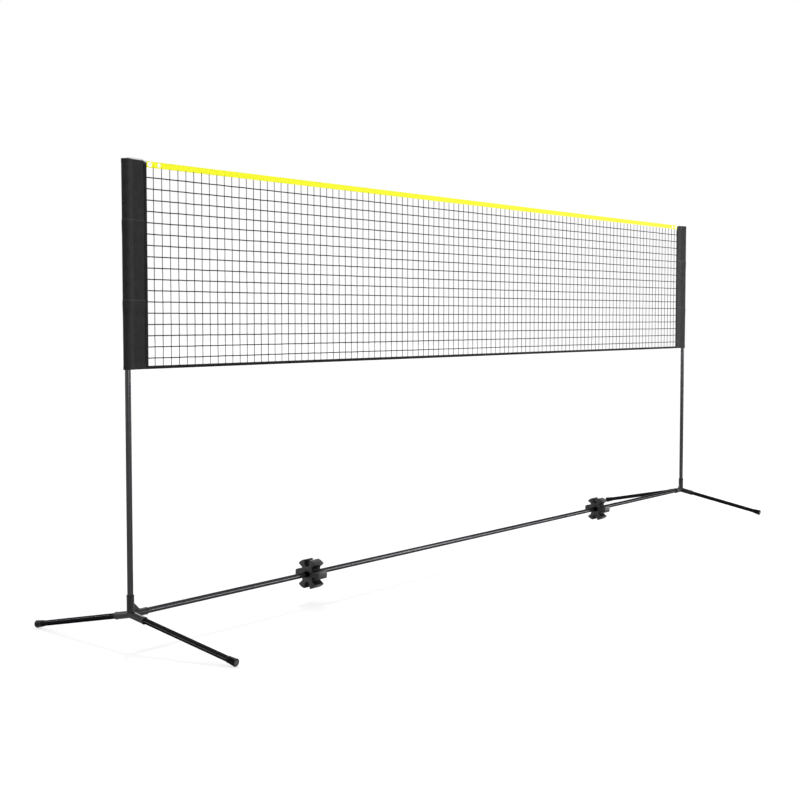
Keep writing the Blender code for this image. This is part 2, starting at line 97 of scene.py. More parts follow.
def linear(hex_colour):
    """An sRGB hex colour as the linear values that shaders take."""
    channels = [int(hex_colour[i : i + 2], 16) / 255 for i in (1, 3, 5)]
    return (*[c / 12.92 if c <= 0.04045 else ((c + 0.055) / 1.055) ** 2.4 for c in channels], 1.0)


def feed(node, inputs):
    """Fills a node's inputs, by name or number, with values, outputs, or the first outputs of other nodes."""
    for key, value in dict(inputs).items():
        source = value.outputs[0] if isinstance(value, bpy.types.Node) else value
        if isinstance(source, bpy.types.NodeSocket):
            node.id_data.links.new(source, node.inputs[key])
        else:
            node.inputs[key].default_value = source


def add_node(tree, kind, inputs=(), **settings):
    """Adds one node with its settings, and fills its inputs."""
    node = tree.nodes.new(kind)
    for name, value in settings.items():
        setattr(node, name, value)
    feed(node, inputs)
    return node


def start_finish(name, hex_colour, roughness, **values):
    """A material, what adds a node to it, and its shader with its plain values set."""
    material = bpy.data.materials.new(name)
    material.use_nodes = True
    shader = material.node_tree.nodes["Principled BSDF"]
    feed(shader, {"Base Color": linear(hex_colour), "Roughness": roughness})
    feed(shader, {key.replace("_", " "): value for key, value in values.items()})
    return material, partial(add_node, material.node_tree), shader


def mesh_of(shape, place=Matrix.Identity(4), outwards=True):
    """The mesh of a finished shape in its place, with its faces turned outwards where asked."""
    if outwards:
        bmesh.ops.recalc_face_normals(shape, faces=shape.faces)
    shape.transform(place)
    mesh = bpy.data.meshes.new("shape")
    shape.to_mesh(mesh)
    shape.free()
    return mesh


def skin(shape, rings, on_map, closed=True):
    """Faces over rings of corners, closed round and at both ends or left open.

    on_map(ring, step) gives each corner's place on the UV map.
    """
    layer = shape.loops.layers.uv.new("UVMap")
    for i in range(len(rings) - 1):
        for k in range(len(rings[0]) - (not closed)):
            corners = [(i, k), (i + 1, k), (i + 1, k + 1), (i, k + 1)]
            face = shape.faces.new([rings[a][b % len(rings[a])] for a, b in corners])
            for loop, corner in zip(face.loops, corners):
                loop[layer].uv = on_map(*corner)
    if closed:
        shape.faces.new(rings[0])
        shape.faces.new(reversed(rings[-1]))


def keep_piece(name, mesh, material, body, replaced=(), crease=35.0):
    """The finished piece, smooth between crisp edges, riding on its body, if any, in its solid's stead."""
    mesh.name = name
    mesh.materials.clear()
    mesh.materials.append(material)
    mesh.shade_smooth()
    mesh.set_sharp_from_angle(angle=math.radians(crease))
    piece = set_out(name, mesh)
    if body:
        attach(piece, body)
    if replaced:
        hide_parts(*replaced)
    return piece


def arc(centre, radius, start, end, steps):
    """Points on an arc, both ends included, with its angles in degrees."""
    turns = [math.radians(start + (end - start) * i / steps) for i in range(steps + 1)]
    return [(centre[0] + radius * math.cos(a), centre[1] + radius * math.sin(a)) for a in turns]


def cord_mesh(path, radius, sides):
    """A closed tube along a path in the XZ plane, with a UV map of turns round it and mm along it."""
    shape = bmesh.new()
    across = Vector((0.0, 1.0, 0.0))
    turns = [math.tau * k / sides for k in range(sides)]
    rings, runs, run = [], [], 0.0
    for i, point in enumerate(path):
        before, after = path[max(i - 1, 0)], path[min(i + 1, len(path) - 1)]
        up = (after - before).normalized().cross(across)
        spokes = [across * math.cos(a) + up * math.sin(a) for a in turns]
        rings.append([shape.verts.new(point + radius * spoke) for spoke in spokes])
        run += (point - before).length
        runs.append(run)
    skin(shape, rings, lambda i, k: (k / sides, runs[i] / mm))
    return mesh_of(shape), run


def cord_sink(share):
    """How far the cord has dipped, from its level stretch at 0 to the end of the band at 1."""
    return cord_drop * (1 - math.cos(math.pi * share)) / 2


# Braided polyester, slightly soft to the light. Eight crossing strands show as small diamonds.
braid_strands = 8
braid_pitch_mm = 9.0
pale_cord, add, shader = start_finish("pale_grey_braided_polyester", "#E4E4E3", 0.72, Sheen_Weight=0.25)
where = add("ShaderNodeUVMap", uv_map="UVMap")
split = add("ShaderNodeSeparateXYZ", {0: where})
strands = []
for way in (-1.0, 1.0):
    along = add("ShaderNodeMath", {0: split.outputs["Y"], 1: way / braid_pitch_mm}, operation="MULTIPLY")
    twist = add("ShaderNodeMath", {0: split, 1: along}, operation="ADD")
    turn = add("ShaderNodeMath", {0: twist, 1: braid_strands * math.pi}, operation="MULTIPLY")
    wave = add("ShaderNodeMath", {0: turn}, operation="SINE")
    strands.append(add("ShaderNodeMath", {0: wave}, operation="ABSOLUTE"))
braid = add("ShaderNodeMath", {0: strands[0], 1: strands[1]}, operation="MULTIPLY")
tone = add("ShaderNodeValToRGB", {0: braid})
tone.color_ramp.elements[0].color = linear("#C2C2C1")
tone.color_ramp.elements[1].color = linear("#F2F2F1")
relief = add("ShaderNodeBump", {"Height": braid, "Strength": 0.8, "Distance": 0.4 * mm})
feed(shader, {"Base Color": tone, "Normal": relief})

for side, place in end_places.items():
    foot = cord_level - cord_bend
    route = [(0.0, foot - cord_tail), (0.0, foot - cord_tail / 2)]
    route += arc((cord_bend, foot), cord_bend, 180, 90, 14)
    route += [(cord_bend + (cord_drop_start - cord_bend) * i / 10, cord_level) for i in range(1, 10)]
    dips = [i / 12 for i in range(13)]
    route += [(cord_drop_start + cord_drop_length * share, cord_level - cord_sink(share)) for share in dips]
    route += [(sleeve_width, cord_level - cord_drop)]
    path = [place @ Vector((x, 0.0, z)) for x, z in route]
    mesh, length = cord_mesh(path, cord_radius, 20)
    name = f"tension_cord_line_{side}"
    cord = keep_piece(name, mesh, pale_cord, "net_carriage", [f"tension_cord_{side}"], 60)

# Crossbar
# Four thin steel tubes, powder coated black, butt end to end on swaged spigots, with the ends deburred.
# They fit blind sockets in the corners.
bar_height = 0.103
tube_radius = 9.5 * mm
tube_wall = 1.2 * mm
fit_gap = 0.3 * mm
tube_bore = tube_radius - tube_wall
socket_floor = 13 * mm
spigot_length = 50 * mm
spigot_root = 12.5 * mm
deburr = 0.35 * mm
tube_sides = 56


def turned_mesh(profile, place, sides=tube_sides, ring=False):
    """A shape turned about its own Z from (radius, height) points, then put in its place."""
    shape = bmesh.new()
    turns = [math.tau * k / sides for k in range(sides)]
    rings = []
    for radius, height in profile:
        spokes = turns if radius else [0.0]
        rings.append([shape.verts.new((radius * math.cos(a), radius * math.sin(a), height)) for a in spokes])
    pairs = list(zip(rings, rings[1:])) + ([(rings[-1], rings[0])] if ring else [])
    for first, second in pairs:
        if len(first) == len(second) == 1:
            continue
        for k in range(sides):
            n = (k + 1) % sides
            steps = ((first, k), (second, k), (second, n), (first, n))
            corners = [corner_ring[i % len(corner_ring)] for corner_ring, i in steps]
            shape.faces.new(list(dict.fromkeys(corners)))
    return mesh_of(shape, place)


def tube_profile(outer, bore, low, high):
    """A tube's wall with its outer edges deburred."""
    top = [(bore, high), (outer - deburr, high), (outer, high - deburr)]
    return top + [(outer, low + deburr), (outer - deburr, low), (bore, low)]


def grained(
    name,
    hex_colour,
    roughness,
    grain_mm,
    strength,
    depth_mm,
    detail=2.0,
    cloud_mm=None,
    cloud_detail=2.0,
    cloud_ends=(0.3, 0.7),
    glosses=None,
    hex_dark=None,
    **values,
):
    """A finish with a fine grain in relief, and a coarser cloud that drifts its gloss or its tone.

    Between the cloud's two ends the roughness runs through glosses, or the colour comes up from hex_dark.
    """
    material, add, shader = start_finish(name, hex_colour, roughness, **values)
    where = add("ShaderNodeTexCoord").outputs["Object"]
    grain = add("ShaderNodeTexNoise", {"Vector": where, "Scale": 1 / (grain_mm * mm), "Detail": detail})
    relief = add("ShaderNodeBump", {"Height": grain, "Strength": strength, "Distance": depth_mm * mm})
    feed(shader, {"Normal": relief})
    if cloud_mm:
        drift = {"Scale": 1 / (cloud_mm * mm), "Detail": cloud_detail}
        cloud = add("ShaderNodeTexNoise", {"Vector": where, **drift})
    if glosses:
        span = dict(zip(("From Min", "From Max", "To Min", "To Max"), (*cloud_ends, *glosses)))
        feed(shader, {"Roughness": add("ShaderNodeMapRange", {"Value": cloud, **span})})
    if hex_dark:
        tone = add("ShaderNodeValToRGB", {0: cloud})
        for stop, position, hex_stop in zip(tone.color_ramp.elements, cloud_ends, (hex_dark, hex_colour)):
            stop.position = position
            stop.color = linear(hex_stop)
        feed(shader, {"Base Color": tone})
    return material


# Black lacquer baked on steel, with a faint orange peel 1.5 mm across and gloss that drifts over 60 mm. The
# metal under it gives it a grey glint face on and leaves its edges black.
orange_peel = {"grain_mm": 1.5, "strength": 0.12, "depth_mm": 0.06, "cloud_mm": 60, "cloud_detail": 3.0}
lacquer = {"Metallic": 1.0, "Specular_Tint": linear("#A9A9A9"), **orange_peel}
powder_coat = grained("black_baked_lacquer", "#38383A", 0.17, glosses=(0.17, 0.23), **lacquer)

section_count = 4
bar_start = -post_x + socket_floor + fit_gap
section_length = (-2 * bar_start - (section_count - 1) * fit_gap) / section_count
spigot_radius = tube_bore - fit_gap
spigot_bore = spigot_radius - tube_wall
for number in range(section_count):
    profile = tube_profile(tube_radius, tube_bore, 0.0, section_length)
    if number < section_count - 1:
        tip = section_length + spigot_length
        shoulder = section_length - spigot_root
        profile = [
            (spigot_bore, tip),
            (spigot_radius - deburr, tip),
            (spigot_radius, tip - deburr),
            (spigot_radius, section_length),
            *profile[1:],
            (tube_bore, shoulder - tube_wall),
            (spigot_bore, shoulder),
        ]
    place = Matrix.Translation((bar_start + number * (section_length + fit_gap), 0.0, bar_height))
    mesh = turned_mesh(profile, place @ Matrix.Rotation(math.pi / 2, 4, "Y"), ring=True)
    node = f"crossbar_section_{number + 1}"
    keep_piece(f"crossbar_tube_{number + 1}", mesh, powder_coat, "stand", [node])

# Corner sockets
# One moulded nylon corner at each end takes the post, the crossbar and two splayed legs in blind sockets.
# Its collars run into each other in soft fillets, each mouth has a low lip, and a web stiffens the post.
leg_slope = math.radians(11.2)
post_collar = 63 * mm
bar_collar = 70 * mm
leg_collar = 68 * mm
socket_radius = tube_radius + fit_gap
collar_radius = socket_radius + 2.45 * mm
lip_radius = collar_radius + 0.8 * mm
lip_length = 4 * mm
bore_reach = 9 * mm
gusset_up = 39 * mm
gusset_along = 41 * mm
gusset_toe = 11 * mm
gusset_half = 1.8 * mm
mould_step = 0.85 * mm
fillet_rounds = 14
same_point = 1e-7


def leg_turn(way):
    """Turns a shape's own Z out and down along a leg; way is -1 for the front and 1 for the rear."""
    return Matrix.Rotation(-way * (math.pi / 2 + leg_slope), 4, "X")


collars = (
    (Matrix.Identity(4), post_collar),
    (Matrix.Rotation(math.pi / 2, 4, "Y"), bar_collar),
    (leg_turn(-1), leg_collar),
    (leg_turn(1), leg_collar),
)


def without_doubles(outline):
    """A closed outline with each point kept once where two arcs meet."""
    return [p for i, p in enumerate(outline) if (Vector(p) - Vector(outline[i - 1])).length > same_point]


def prism(outline, half, place):
    """An outline in X and Z, made solid from -half to half along Y."""
    shape = bmesh.new()
    walls = [[shape.verts.new((x, y, z)) for x, z in without_doubles(outline)] for y in (-half, half)]
    shape.faces.new(walls[0])
    shape.faces.new(reversed(walls[1]))
    for i in range(len(walls[0])):
        shape.faces.new((walls[0][i - 1], walls[1][i - 1], walls[1][i], walls[0][i]))
    return mesh_of(shape, place)


def evaluated(holder):
    """The plain mesh that an object's modifiers make. The object itself goes."""
    bpy.context.view_layer.update()
    result = bpy.data.meshes.new_from_object(holder.evaluated_get(bpy.context.evaluated_depsgraph_get()))
    bpy.data.objects.remove(holder, do_unlink=True)
    return result


def settled(mesh, *modifiers):
    """The mesh after modifiers, given as (kind, settings), have been applied to it."""
    holder = set_out("holder", mesh)
    for kind, settings in modifiers:
        modifier = holder.modifiers.new(kind.lower(), kind)
        for name, value in settings.items():
            setattr(modifier, name, value)
    return evaluated(holder)


def cut(mesh, cutters, operation="DIFFERENCE"):
    """The mesh with each cutter mesh taken from it, or joined to it."""
    tools = [set_out("cutter", cutter) for cutter in cutters]
    steps = [("BOOLEAN", {"operation": operation, "solver": "EXACT", "object": tool}) for tool in tools]
    result = settled(mesh, *steps)
    for tool in tools:
        bpy.data.objects.remove(tool, do_unlink=True)
    return result


# Glass-filled nylon from a spark-eroded mould: black and low in gloss, with flow clouds 18 mm across. Its
# 0.5 mm grain is drawn at 0.7 mm, coarse enough to see.
mould_grain = {"grain_mm": 0.7, "strength": 0.35, "depth_mm": 0.08, "detail": 3.0, "cloud_mm": 18}
nylon = grained(
    "black_moulded_nylon_pa6", "#18181A", 0.40, glosses=(0.34, 0.46), Specular_IOR_Level=0.20, **mould_grain
)

for side, end_place in end_places.items():
    centre = end_place @ Matrix.Translation((0.0, 0.0, bar_height))
    solids, bores = [], []
    for turn, length in collars:
        lip_foot = length - lip_length
        profile = [
            (0.0, length),
            (lip_radius, length),
            (lip_radius, lip_foot),
            (collar_radius, lip_foot - (lip_radius - collar_radius)),
            (collar_radius, 0.0),
            (0.0, 0.0),
        ]
        solids.append(turned_mesh(profile, centre @ turn))
        past = length + bore_reach
        bore = [(0.0, past), (socket_radius, past), (socket_radius, socket_floor), (0.0, socket_floor)]
        bores.append(turned_mesh(bore, centre @ turn))
    ball = bmesh.new()
    bmesh.ops.create_uvsphere(ball, u_segments=48, v_segments=24, radius=collar_radius)
    web_edge = [(gusset_along, gusset_toe), (gusset_toe, gusset_up)]
    web = [(0.0, 0.0), (gusset_along, 0.0), *web_edge, (0.0, gusset_up)]
    solids += [mesh_of(ball, centre), prism(web, gusset_half, centre)]
    shape = bmesh.new()
    for solid in solids:
        shape.from_mesh(solid)
    blank = mesh_of(shape, outwards=False)
    shape = bmesh.new()
    shape.from_mesh(settled(blank, ("REMESH", {"mode": "VOXEL", "voxel_size": mould_step})))
    every_axis = {f"use_axis_{axis}": True for axis in "xyz"}
    for _ in range(fillet_rounds):
        bmesh.ops.smooth_vert(shape, verts=shape.verts, factor=0.5, **every_axis)
    mesh = cut(mesh_of(shape, outwards=False), bores)
    node = f"corner_socket_{side}"
    keep_piece(f"moulded_corner_{side}", mesh, nylon, "stand", [node], 40)

# Legs and foot caps
# Each leg is a plain tube of the same coated steel, pushed into its socket. A dipped rubber cap grows from a
# thin mouth to a wider end, with two low grip rings, a rounded rim round a sunk disc, and a worn flat sole.
cap_mouth = 0.5 * mm
cap_lip = 0.2 * cap_mouth
cap_mouth_ease = 2 * mm
cap_flare = 3.2 * mm
cap_length = 38 * mm
cap_floor = 5 * mm
cap_rim = 1.8 * mm
grip_rings = (5 * mm, 9 * mm)
grip_ring_steps_mm = ((-0.9, 0.0), (-0.4, 0.25), (0.4, 0.25), (0.9, 0.0))
disc_inset = 3.4 * mm
disc_depth = 0.6 * mm
disc_wall = 0.5 * mm
on_disc = 0.1 * mm
sole_cut = 0.6 * mm
cap_radius = socket_radius + cap_flare
leg_length = (bar_height + sole_cut - cap_radius * math.cos(leg_slope)) / math.sin(leg_slope)


def at_post(side, height):
    """A place on a post's axis that isn't turned with its end."""
    return Matrix.Translation((end_places[side].translation.x, 0.0, height))


# Dipped black rubber with a soft shine on its side. The sunk disc at its end is painted a lighter grey:
# painted light, for the light its face catches.
# Both have a cloudy bloom 9 mm across and specks of 0.9 mm.
bloom = {"strength": 0.3, "depth_mm": 0.1, "cloud_mm": 9, "cloud_detail": 5.0, "cloud_ends": (0.35, 0.75)}
rubber_look = {"grain_mm": 0.9, **bloom}
rubber = grained(
    "black_dipped_rubber", "#0F0F0F", 0.32, hex_dark="#080808", Specular_IOR_Level=0.04, **rubber_look
)
disc_rubber_painted_light = grained(
    "grey_rubber_painted_light_disc", "#5A5A58", 0.62, hex_dark="#3C3C3B", Specular_IOR_Level=0.25, **rubber_look
)
# The legs wear the same lacquer painted darker and a little glossier: painted shade, for the darker
# reflections along them. Their thin bright line along the top comes from a lamp.
leg_lacquer_painted_darker = grained("black_lacquer_painted_darker_for_legs", "#161617", 0.12, glosses=(0.12, 0.17), **lacquer)

tube = tube_profile(tube_radius, tube_bore, socket_floor + fit_gap, leg_length - cap_floor - fit_gap)
mouth = leg_length - cap_length
cup = leg_length - cap_floor
disc = leg_length - disc_depth
slant = (cap_flare - cap_mouth) / (cap_length - cap_rim)
cap = [(0.0, cup), (socket_radius, cup), (socket_radius, mouth)]
cap += [(socket_radius + cap_lip, mouth), (socket_radius + cap_mouth, mouth + cap_mouth_ease)]
for ring in grip_rings:
    for off, proud in grip_ring_steps_mm:
        along = ring + off * mm
        cap.append((socket_radius + cap_mouth + along * slant + proud * mm, mouth + along))
cap += arc((cap_radius - cap_rim, leg_length - cap_rim), cap_rim, 0, 90, 8)
cap += [(cap_radius - disc_inset, leg_length), (cap_radius - disc_inset - disc_wall, disc), (0.0, disc)]
for side in end_places:
    for row, way in (("front", -1), ("rear", 1)):
        place = at_post(side, bar_height) @ leg_turn(way)
        body = f"{row}_{side}_leg"
        mesh = turned_mesh(tube, place, ring=True)
        name = f"leg_tube_{row}_{side}"
        keep_piece(name, mesh, leg_lacquer_painted_darker, body, [f"leg_{row}_{side}"])
        shape = bmesh.new()
        shape.from_mesh(turned_mesh(cap, place))
        whole = shape.verts[:] + shape.edges[:] + shape.faces[:]
        ground = {"plane_co": (0, 0, 0), "plane_no": (0, 0, -1)}
        edge = bmesh.ops.bisect_plane(shape, geom=whole, clear_outer=True, **ground)
        rim_edges = [item for item in edge["geom_cut"] if isinstance(item, bmesh.types.BMEdge)]
        bmesh.ops.holes_fill(shape, edges=rim_edges)
        mesh = mesh_of(shape, outwards=False)
        name = f"rubber_foot_{row}_{side}"
        foot = keep_piece(name, mesh, rubber, body, [f"foot_cap_{row}_{side}"], 40)
        # The sunk disc's faces take the lighter grey: painted light.
        foot.data.materials.append(disc_rubber_painted_light)
        for face in foot.data.polygons:
            if abs((place.inverted() @ face.center).z - disc) < on_disc:
                face.material_index = 1

# Posts
# The lower post is a tube like the rest, with a row of button holes in its rear. The upper post slides in it
# with a little play, carries the net, and has one hole for its button.
button_pitch = 212 * mm
button_height = net_bottom - 20.5 * mm
button_stops = 3
button_radius = 3 * mm
button_sides = 32
post_foot = bar_height + socket_floor + fit_gap
lower_top = net_bottom + 14.5 * mm
inner_radius = tube_bore - fit_gap
inner_bore = inner_radius - tube_wall
upper_foot = lower_top - 144.7 * mm
plug_head = 9.2 * mm
upper_top = net_top - plug_head - fit_gap
to_rear = Matrix.Rotation(-math.pi / 2, 4, "X")


def rear_hole(side, height):
    """A pin-shaped cutter from the post's axis out to the rear."""
    radius, reach = button_radius + fit_gap, 2 * tube_radius
    pin = [(0.0, reach), (radius, reach), (radius, 0.0), (0.0, 0.0)]
    return turned_mesh(pin, at_post(side, height) @ to_rear, button_sides)


lower = tube_profile(tube_radius, tube_bore, post_foot, lower_top)
upper = tube_profile(inner_radius, inner_bore, upper_foot, upper_top)
for side, end_place in end_places.items():
    holes = [rear_hole(side, button_height - stop * button_pitch) for stop in range(button_stops + 1)]
    for kind, node, body, profile, its_holes in (
        ("outer", "lower_post", "stand", lower, holes),
        ("inner", "upper_post", "net_carriage", upper, holes[:1]),
    ):
        mesh = cut(turned_mesh(profile, end_place, ring=True), its_holes)
        name = f"{kind}_post_tube_{side}"
        keep_piece(name, mesh, powder_coat, body, [f"{node}_{side}"])

# Spring clips
# A strip of spring steel, bent back on itself inside the upper post. Its domed nose is the snap button that
# stands out of the holes at the rear. The front leg stays put, and the rear one bends as the nose is pressed.
clip_reach = 5.5086 * mm
clip_half_width = 2.5 * mm
clip_thickness = 0.8 * mm
clip_length = 35 * mm
clip_above = 4.8 * mm
clip_edge = 0.12 * mm
button_tip = tube_radius + 2.2 * mm

# Spring steel, rolled bright: a metal with fine lines along the strip, 0.3 mm apart and 12 mm long.
clip_steel, add, shader = start_finish("bright_spring_steel", "#C2C2C0", 0.28, Metallic=1.0)
where = add("ShaderNodeTexCoord").outputs["Object"]
line_gap, line_run = 0.3 * mm, 12 * mm
per_line = (1 / line_gap, 1 / line_gap, 1 / line_run)
stretch = add("ShaderNodeMapping", {"Vector": where, "Scale": per_line})
lines = add("ShaderNodeTexNoise", {"Vector": stretch, "Scale": 1.0, "Detail": 3.0})
span = {"From Min": 0.3, "From Max": 0.7, "To Min": 0.22, "To Max": 0.36}
gloss = add("ShaderNodeMapRange", {"Value": lines, **span})
relief = add("ShaderNodeBump", {"Height": lines, "Strength": 0.2, "Distance": 0.03 * mm})
feed(shader, {"Roughness": gloss, "Normal": relief})

line = [(clip_reach, clip_above)] + arc((0.0, clip_reach - clip_length), clip_reach, 0, -180, 20)
line += [(-clip_reach, 0.0)]
nose = [(0.0, button_tip)] + arc((0.0, button_tip - button_radius), button_radius, 90, 12, 10)[1:]
nose += [(button_radius, button_tip - button_radius), (button_radius, clip_reach), (0.0, clip_reach)]
for side in end_places:
    centre = at_post(side, button_height)
    shape = bmesh.new()
    left, right = ([shape.verts.new((x, y, z)) for y, z in line] for x in (-clip_half_width, clip_half_width))
    for i in range(len(line) - 1):
        shape.faces.new((left[i], left[i + 1], right[i + 1], right[i]))
    strip = settled(
        mesh_of(shape, centre),
        ("SOLIDIFY", {"thickness": clip_thickness, "offset": 0.0}),
        ("BEVEL", {"width": clip_edge, "segments": 2, "limit_method": "ANGLE"}),
    )
    mesh = cut(strip, [turned_mesh(nose, centre @ to_rear, button_sides)], "UNION")
    name = f"snap_button_clip_{side}"
    clip = keep_piece(name, mesh, clip_steel, None, [f"spring_clip_{side}"])
    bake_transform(clip)

# Post plugs
# A moulded nylon plug closes each post. It has a chamfered head and a slot from its middle towards the net,
# where the tension cord turns down.
stem_radius = inner_bore - fit_gap
stem_foot = upper_top - 25 * mm
shoulder = net_top - plug_head
chamfer = 1.0 * mm
slot_half_width = cord_radius + fit_gap
slot_floor = cord_level - cord_bend
slot_top = cord_level + 2 * cord_radius
well_floor = slot_floor - cord_tail - fit_gap


def solid_box(low, high, place=Matrix.Identity(4)):
    """A block from its lowest corner to its highest one."""
    shape = bmesh.new()
    bmesh.ops.create_cube(shape, size=1.0)
    for corner in shape.verts:
        corner.co = [lo + (hi - lo) * (share + 0.5) for lo, hi, share in zip(low, high, corner.co)]
    return mesh_of(shape, place)


profile = [(0.0, net_top)] + arc((tube_radius - chamfer, net_top - chamfer), chamfer, 90, 0, 6)
profile += [(tube_radius, shoulder + deburr), (tube_radius - deburr, shoulder), (stem_radius, shoulder)]
profile += [(stem_radius, stem_foot + chamfer), (stem_radius - chamfer, stem_foot), (0.0, stem_foot)]
well = [(0.0, slot_top), (slot_half_width, slot_top), (slot_half_width, well_floor), (0.0, well_floor)]
for side, end_place in end_places.items():
    slot_low, slot_high = (0.0, -slot_half_width, slot_floor), (2 * tube_radius, slot_half_width, slot_top)
    cutters = [turned_mesh(well, end_place, button_sides), solid_box(slot_low, slot_high, end_place)]
    mesh = cut(turned_mesh(profile, end_place), cutters)
    node = f"post_top_plug_{side}"
    keep_piece(f"moulded_plug_{side}", mesh, nylon, "net_carriage", [node])

# Sleeves
# Each sleeve is one panel of black coated polyester Oxford cloth, folded round the post and laid flat out to
# the net. It has a loose sewn channel, a hem at its top and bottom, and two faint folds from its packing.
cloth = 1.2 * mm
sheet_thickness = 0.9 * mm
channel = tube_radius + 2.0 * mm + cloth / 2
channel_ease = 1.17
flat_start = tube_radius + 20.5 * mm
sleeve_edge = sleeve_width - 0.8 * mm - fit_gap
ply = cloth / 2 + 0.05 * mm
hem_turn = 13 * mm
hem_step = 0.45 * mm
hem_ease = 0.8 * mm
fold_heights = (1.3596, 1.1062)
fold_depth = 0.9 * mm
fold_half = 3 * mm
fold_reach = 60 * mm
channel_end = 12 * mm
panel_start = 32 * mm
edge_calm = 16 * mm
wave_height = 0.9 * mm
waves_per_metre = (9, 5.5)
ripples_per_metre = (34, 11)
ripple_share = 0.35
channel_share = 0.25
sleeve_seeds = {"left": Vector((7.3, 1.9, 4.1)), "right": Vector((2.2, 8.4, 5.7))}
sleeve_rows = 220
sleeve_step = 2.4 * mm
channel_seams = (flat_start + 1.5 * mm, flat_start + 4.5 * mm)
channel_seam_ends = (net_bottom + 3 * mm, net_top - 5 * mm)
hem_seams = (net_bottom + hem_turn - 2.5 * mm, net_top - hem_turn + 2.5 * mm)
hem_seam_ends = (flat_start + 6 * mm, sleeve_width - 13 * mm)
channel_seam_lift = 0.2 * mm
hem_seam_lift = 0.6 * mm
seam_stitch = {"Stitch pitch": 4.4 * mm, "Stitch length": 3.4 * mm}
thread_thickness = 0.8 * mm
wear_per_mm = 0.035


def path_points(points, spacing):
    """The same line with a point about every spacing."""
    dense = [points[0]]
    for first, second in zip(points, points[1:]):
        steps = max(1, round((second - first).length / spacing))
        dense += [first.lerp(second, i / steps) for i in range(1, steps + 1)]
    return dense


def sleeve_top(x):
    """The height of the sleeve's top edge, which gives way to the cord at the inner corner."""
    return net_top - cord_sink(min(max((x - cord_drop_start) / cord_drop_length, 0.0), 1.0))


def smooth_step(value, low, high):
    """0 up to low, 1 from high on, and a smooth rise between them."""
    share = min(max((value - low) / (high - low), 0.0), 1.0)
    return share * share * (3 - 2 * share)


def sheet_mesh(line, low, top_of, rows, push, seed, place):
    """An upright sheet over a line in plan, with a UV map in millimetres of cloth, and the line's length.

    push(distance along the line, height, point, seed) says how far the cloth stands off along its normal.
    """
    shape = bmesh.new()
    runs = [0.0]
    for first, second in zip(line, line[1:]):
        runs.append(runs[-1] + (second - first).length)
    grid = []
    for i, point in enumerate(line):
        along = (line[min(i + 1, len(line) - 1)] - line[max(i - 1, 0)]).normalized()
        normal = Vector((-along.y, along.x))
        heights = [low + (top_of(point.x) - low) * row / rows for row in range(rows + 1)]
        offs = [point + normal * push(runs[i], height, point, seed) for height in heights]
        grid.append([shape.verts.new((off.x, off.y, height)) for off, height in zip(offs, heights)])
    skin(shape, grid, lambda i, row: (runs[i] / mm, grid[i][row].co.z / mm), closed=False)
    return mesh_of(shape, place, outwards=False), runs[-1]


def ripple(run, height, per_metre, layer, seed):
    """Smooth noise on a cloth, at its own rates along the cloth and up it."""
    return noise.noise(Vector((run * per_metre[0], height * per_metre[1], layer)) + seed)


def cloth_push(run, height, point, seed):
    """Hems stand a ply proud, packing folds press in, and slow waves run down the channel."""
    low_hem, high_hem = net_bottom + hem_turn, net_top - hem_turn
    lift = hem_step * (1 - smooth_step(height, low_hem - hem_ease, low_hem + hem_ease))
    lift += hem_step * smooth_step(height, high_hem - hem_ease, high_hem + hem_ease)
    for fold in fold_heights:
        crease = 1 - smooth_step(height, fold - fold_half, fold + fold_half)
        lift += fold_depth * crease * smooth_step(height, fold - fold_reach, fold - 2 * fold_half)
    free = smooth_step(point.x, channel_end, panel_start)
    free *= 1 - smooth_step(point.x, sleeve_edge - edge_calm, sleeve_edge)
    slow = ripple(run, height, waves_per_metre, 0.0, seed)
    quick = ripple(run, height, ripples_per_metre, 3.0, seed)
    share = channel_share + (1 - channel_share) * free
    return -(lift + share * wave_height * (slow + ripple_share * quick))


def woven(name, hex_dark, hex_light, roughness, yarn_mm, depth_mm, sheen=0.02, crease_highlights_mm=()):
    """A plain weave on a UV map in millimetres: yarns over and under by turns, with a painted highlight along
    creases.
    """
    soft = {"Specular_IOR_Level": 0.07, "Sheen_Weight": sheen, "Sheen_Roughness": 0.5}
    material, add, shader = start_finish(name, hex_light, roughness, **soft)
    where = add("ShaderNodeUVMap", uv_map="UVMap")
    split = add("ShaderNodeSeparateXYZ", {0: where})
    yarns = []
    for axis in ("X", "Y"):
        turn = add("ShaderNodeMath", {0: split.outputs[axis], 1: math.pi / yarn_mm}, operation="MULTIPLY")
        yarns.append(add("ShaderNodeMath", {0: turn}, operation="SINE"))
    over = add("ShaderNodeMath", {0: yarns[0], 1: yarns[1]}, operation="MULTIPLY")
    height = add("ShaderNodeMath", {0: over, 1: 0.5, 2: 0.5}, operation="MULTIPLY_ADD")
    wear = add("ShaderNodeTexNoise", {"Vector": where, "Scale": wear_per_mm, "Detail": 4.0})
    blend = add("ShaderNodeMath", {0: height, 1: wear}, operation="MULTIPLY")
    tone = add("ShaderNodeValToRGB", {0: blend})
    tone.color_ramp.elements[0].color = linear(hex_dark)
    tone.color_ramp.elements[1].position = 0.6
    tone.color_ramp.elements[1].color = linear(hex_light)
    base = tone.outputs["Color"]
    # Each crease gets a paler line painted in: a painted highlight where the fold catches the light.
    for crease_highlight_mm in crease_highlights_mm:
        away = add("ShaderNodeMath", {0: split.outputs["Y"], 1: crease_highlight_mm}, operation="SUBTRACT")
        near = add("ShaderNodeMath", {0: away}, operation="ABSOLUTE")
        painted_crease_highlight = add("ShaderNodeMapRange", {0: near, "From Max": fold_half / mm, "To Min": 0.5, "To Max": 0.0})
        mixed = add("ShaderNodeMix", {0: painted_crease_highlight, 6: base, 7: linear("#4C4C4D")}, data_type="RGBA")
        base = mixed.outputs[2]
    relief = add("ShaderNodeBump", {"Height": height, "Strength": 0.5, "Distance": depth_mm * mm})
    feed(shader, {"Base Color": base, "Normal": relief})
    return material


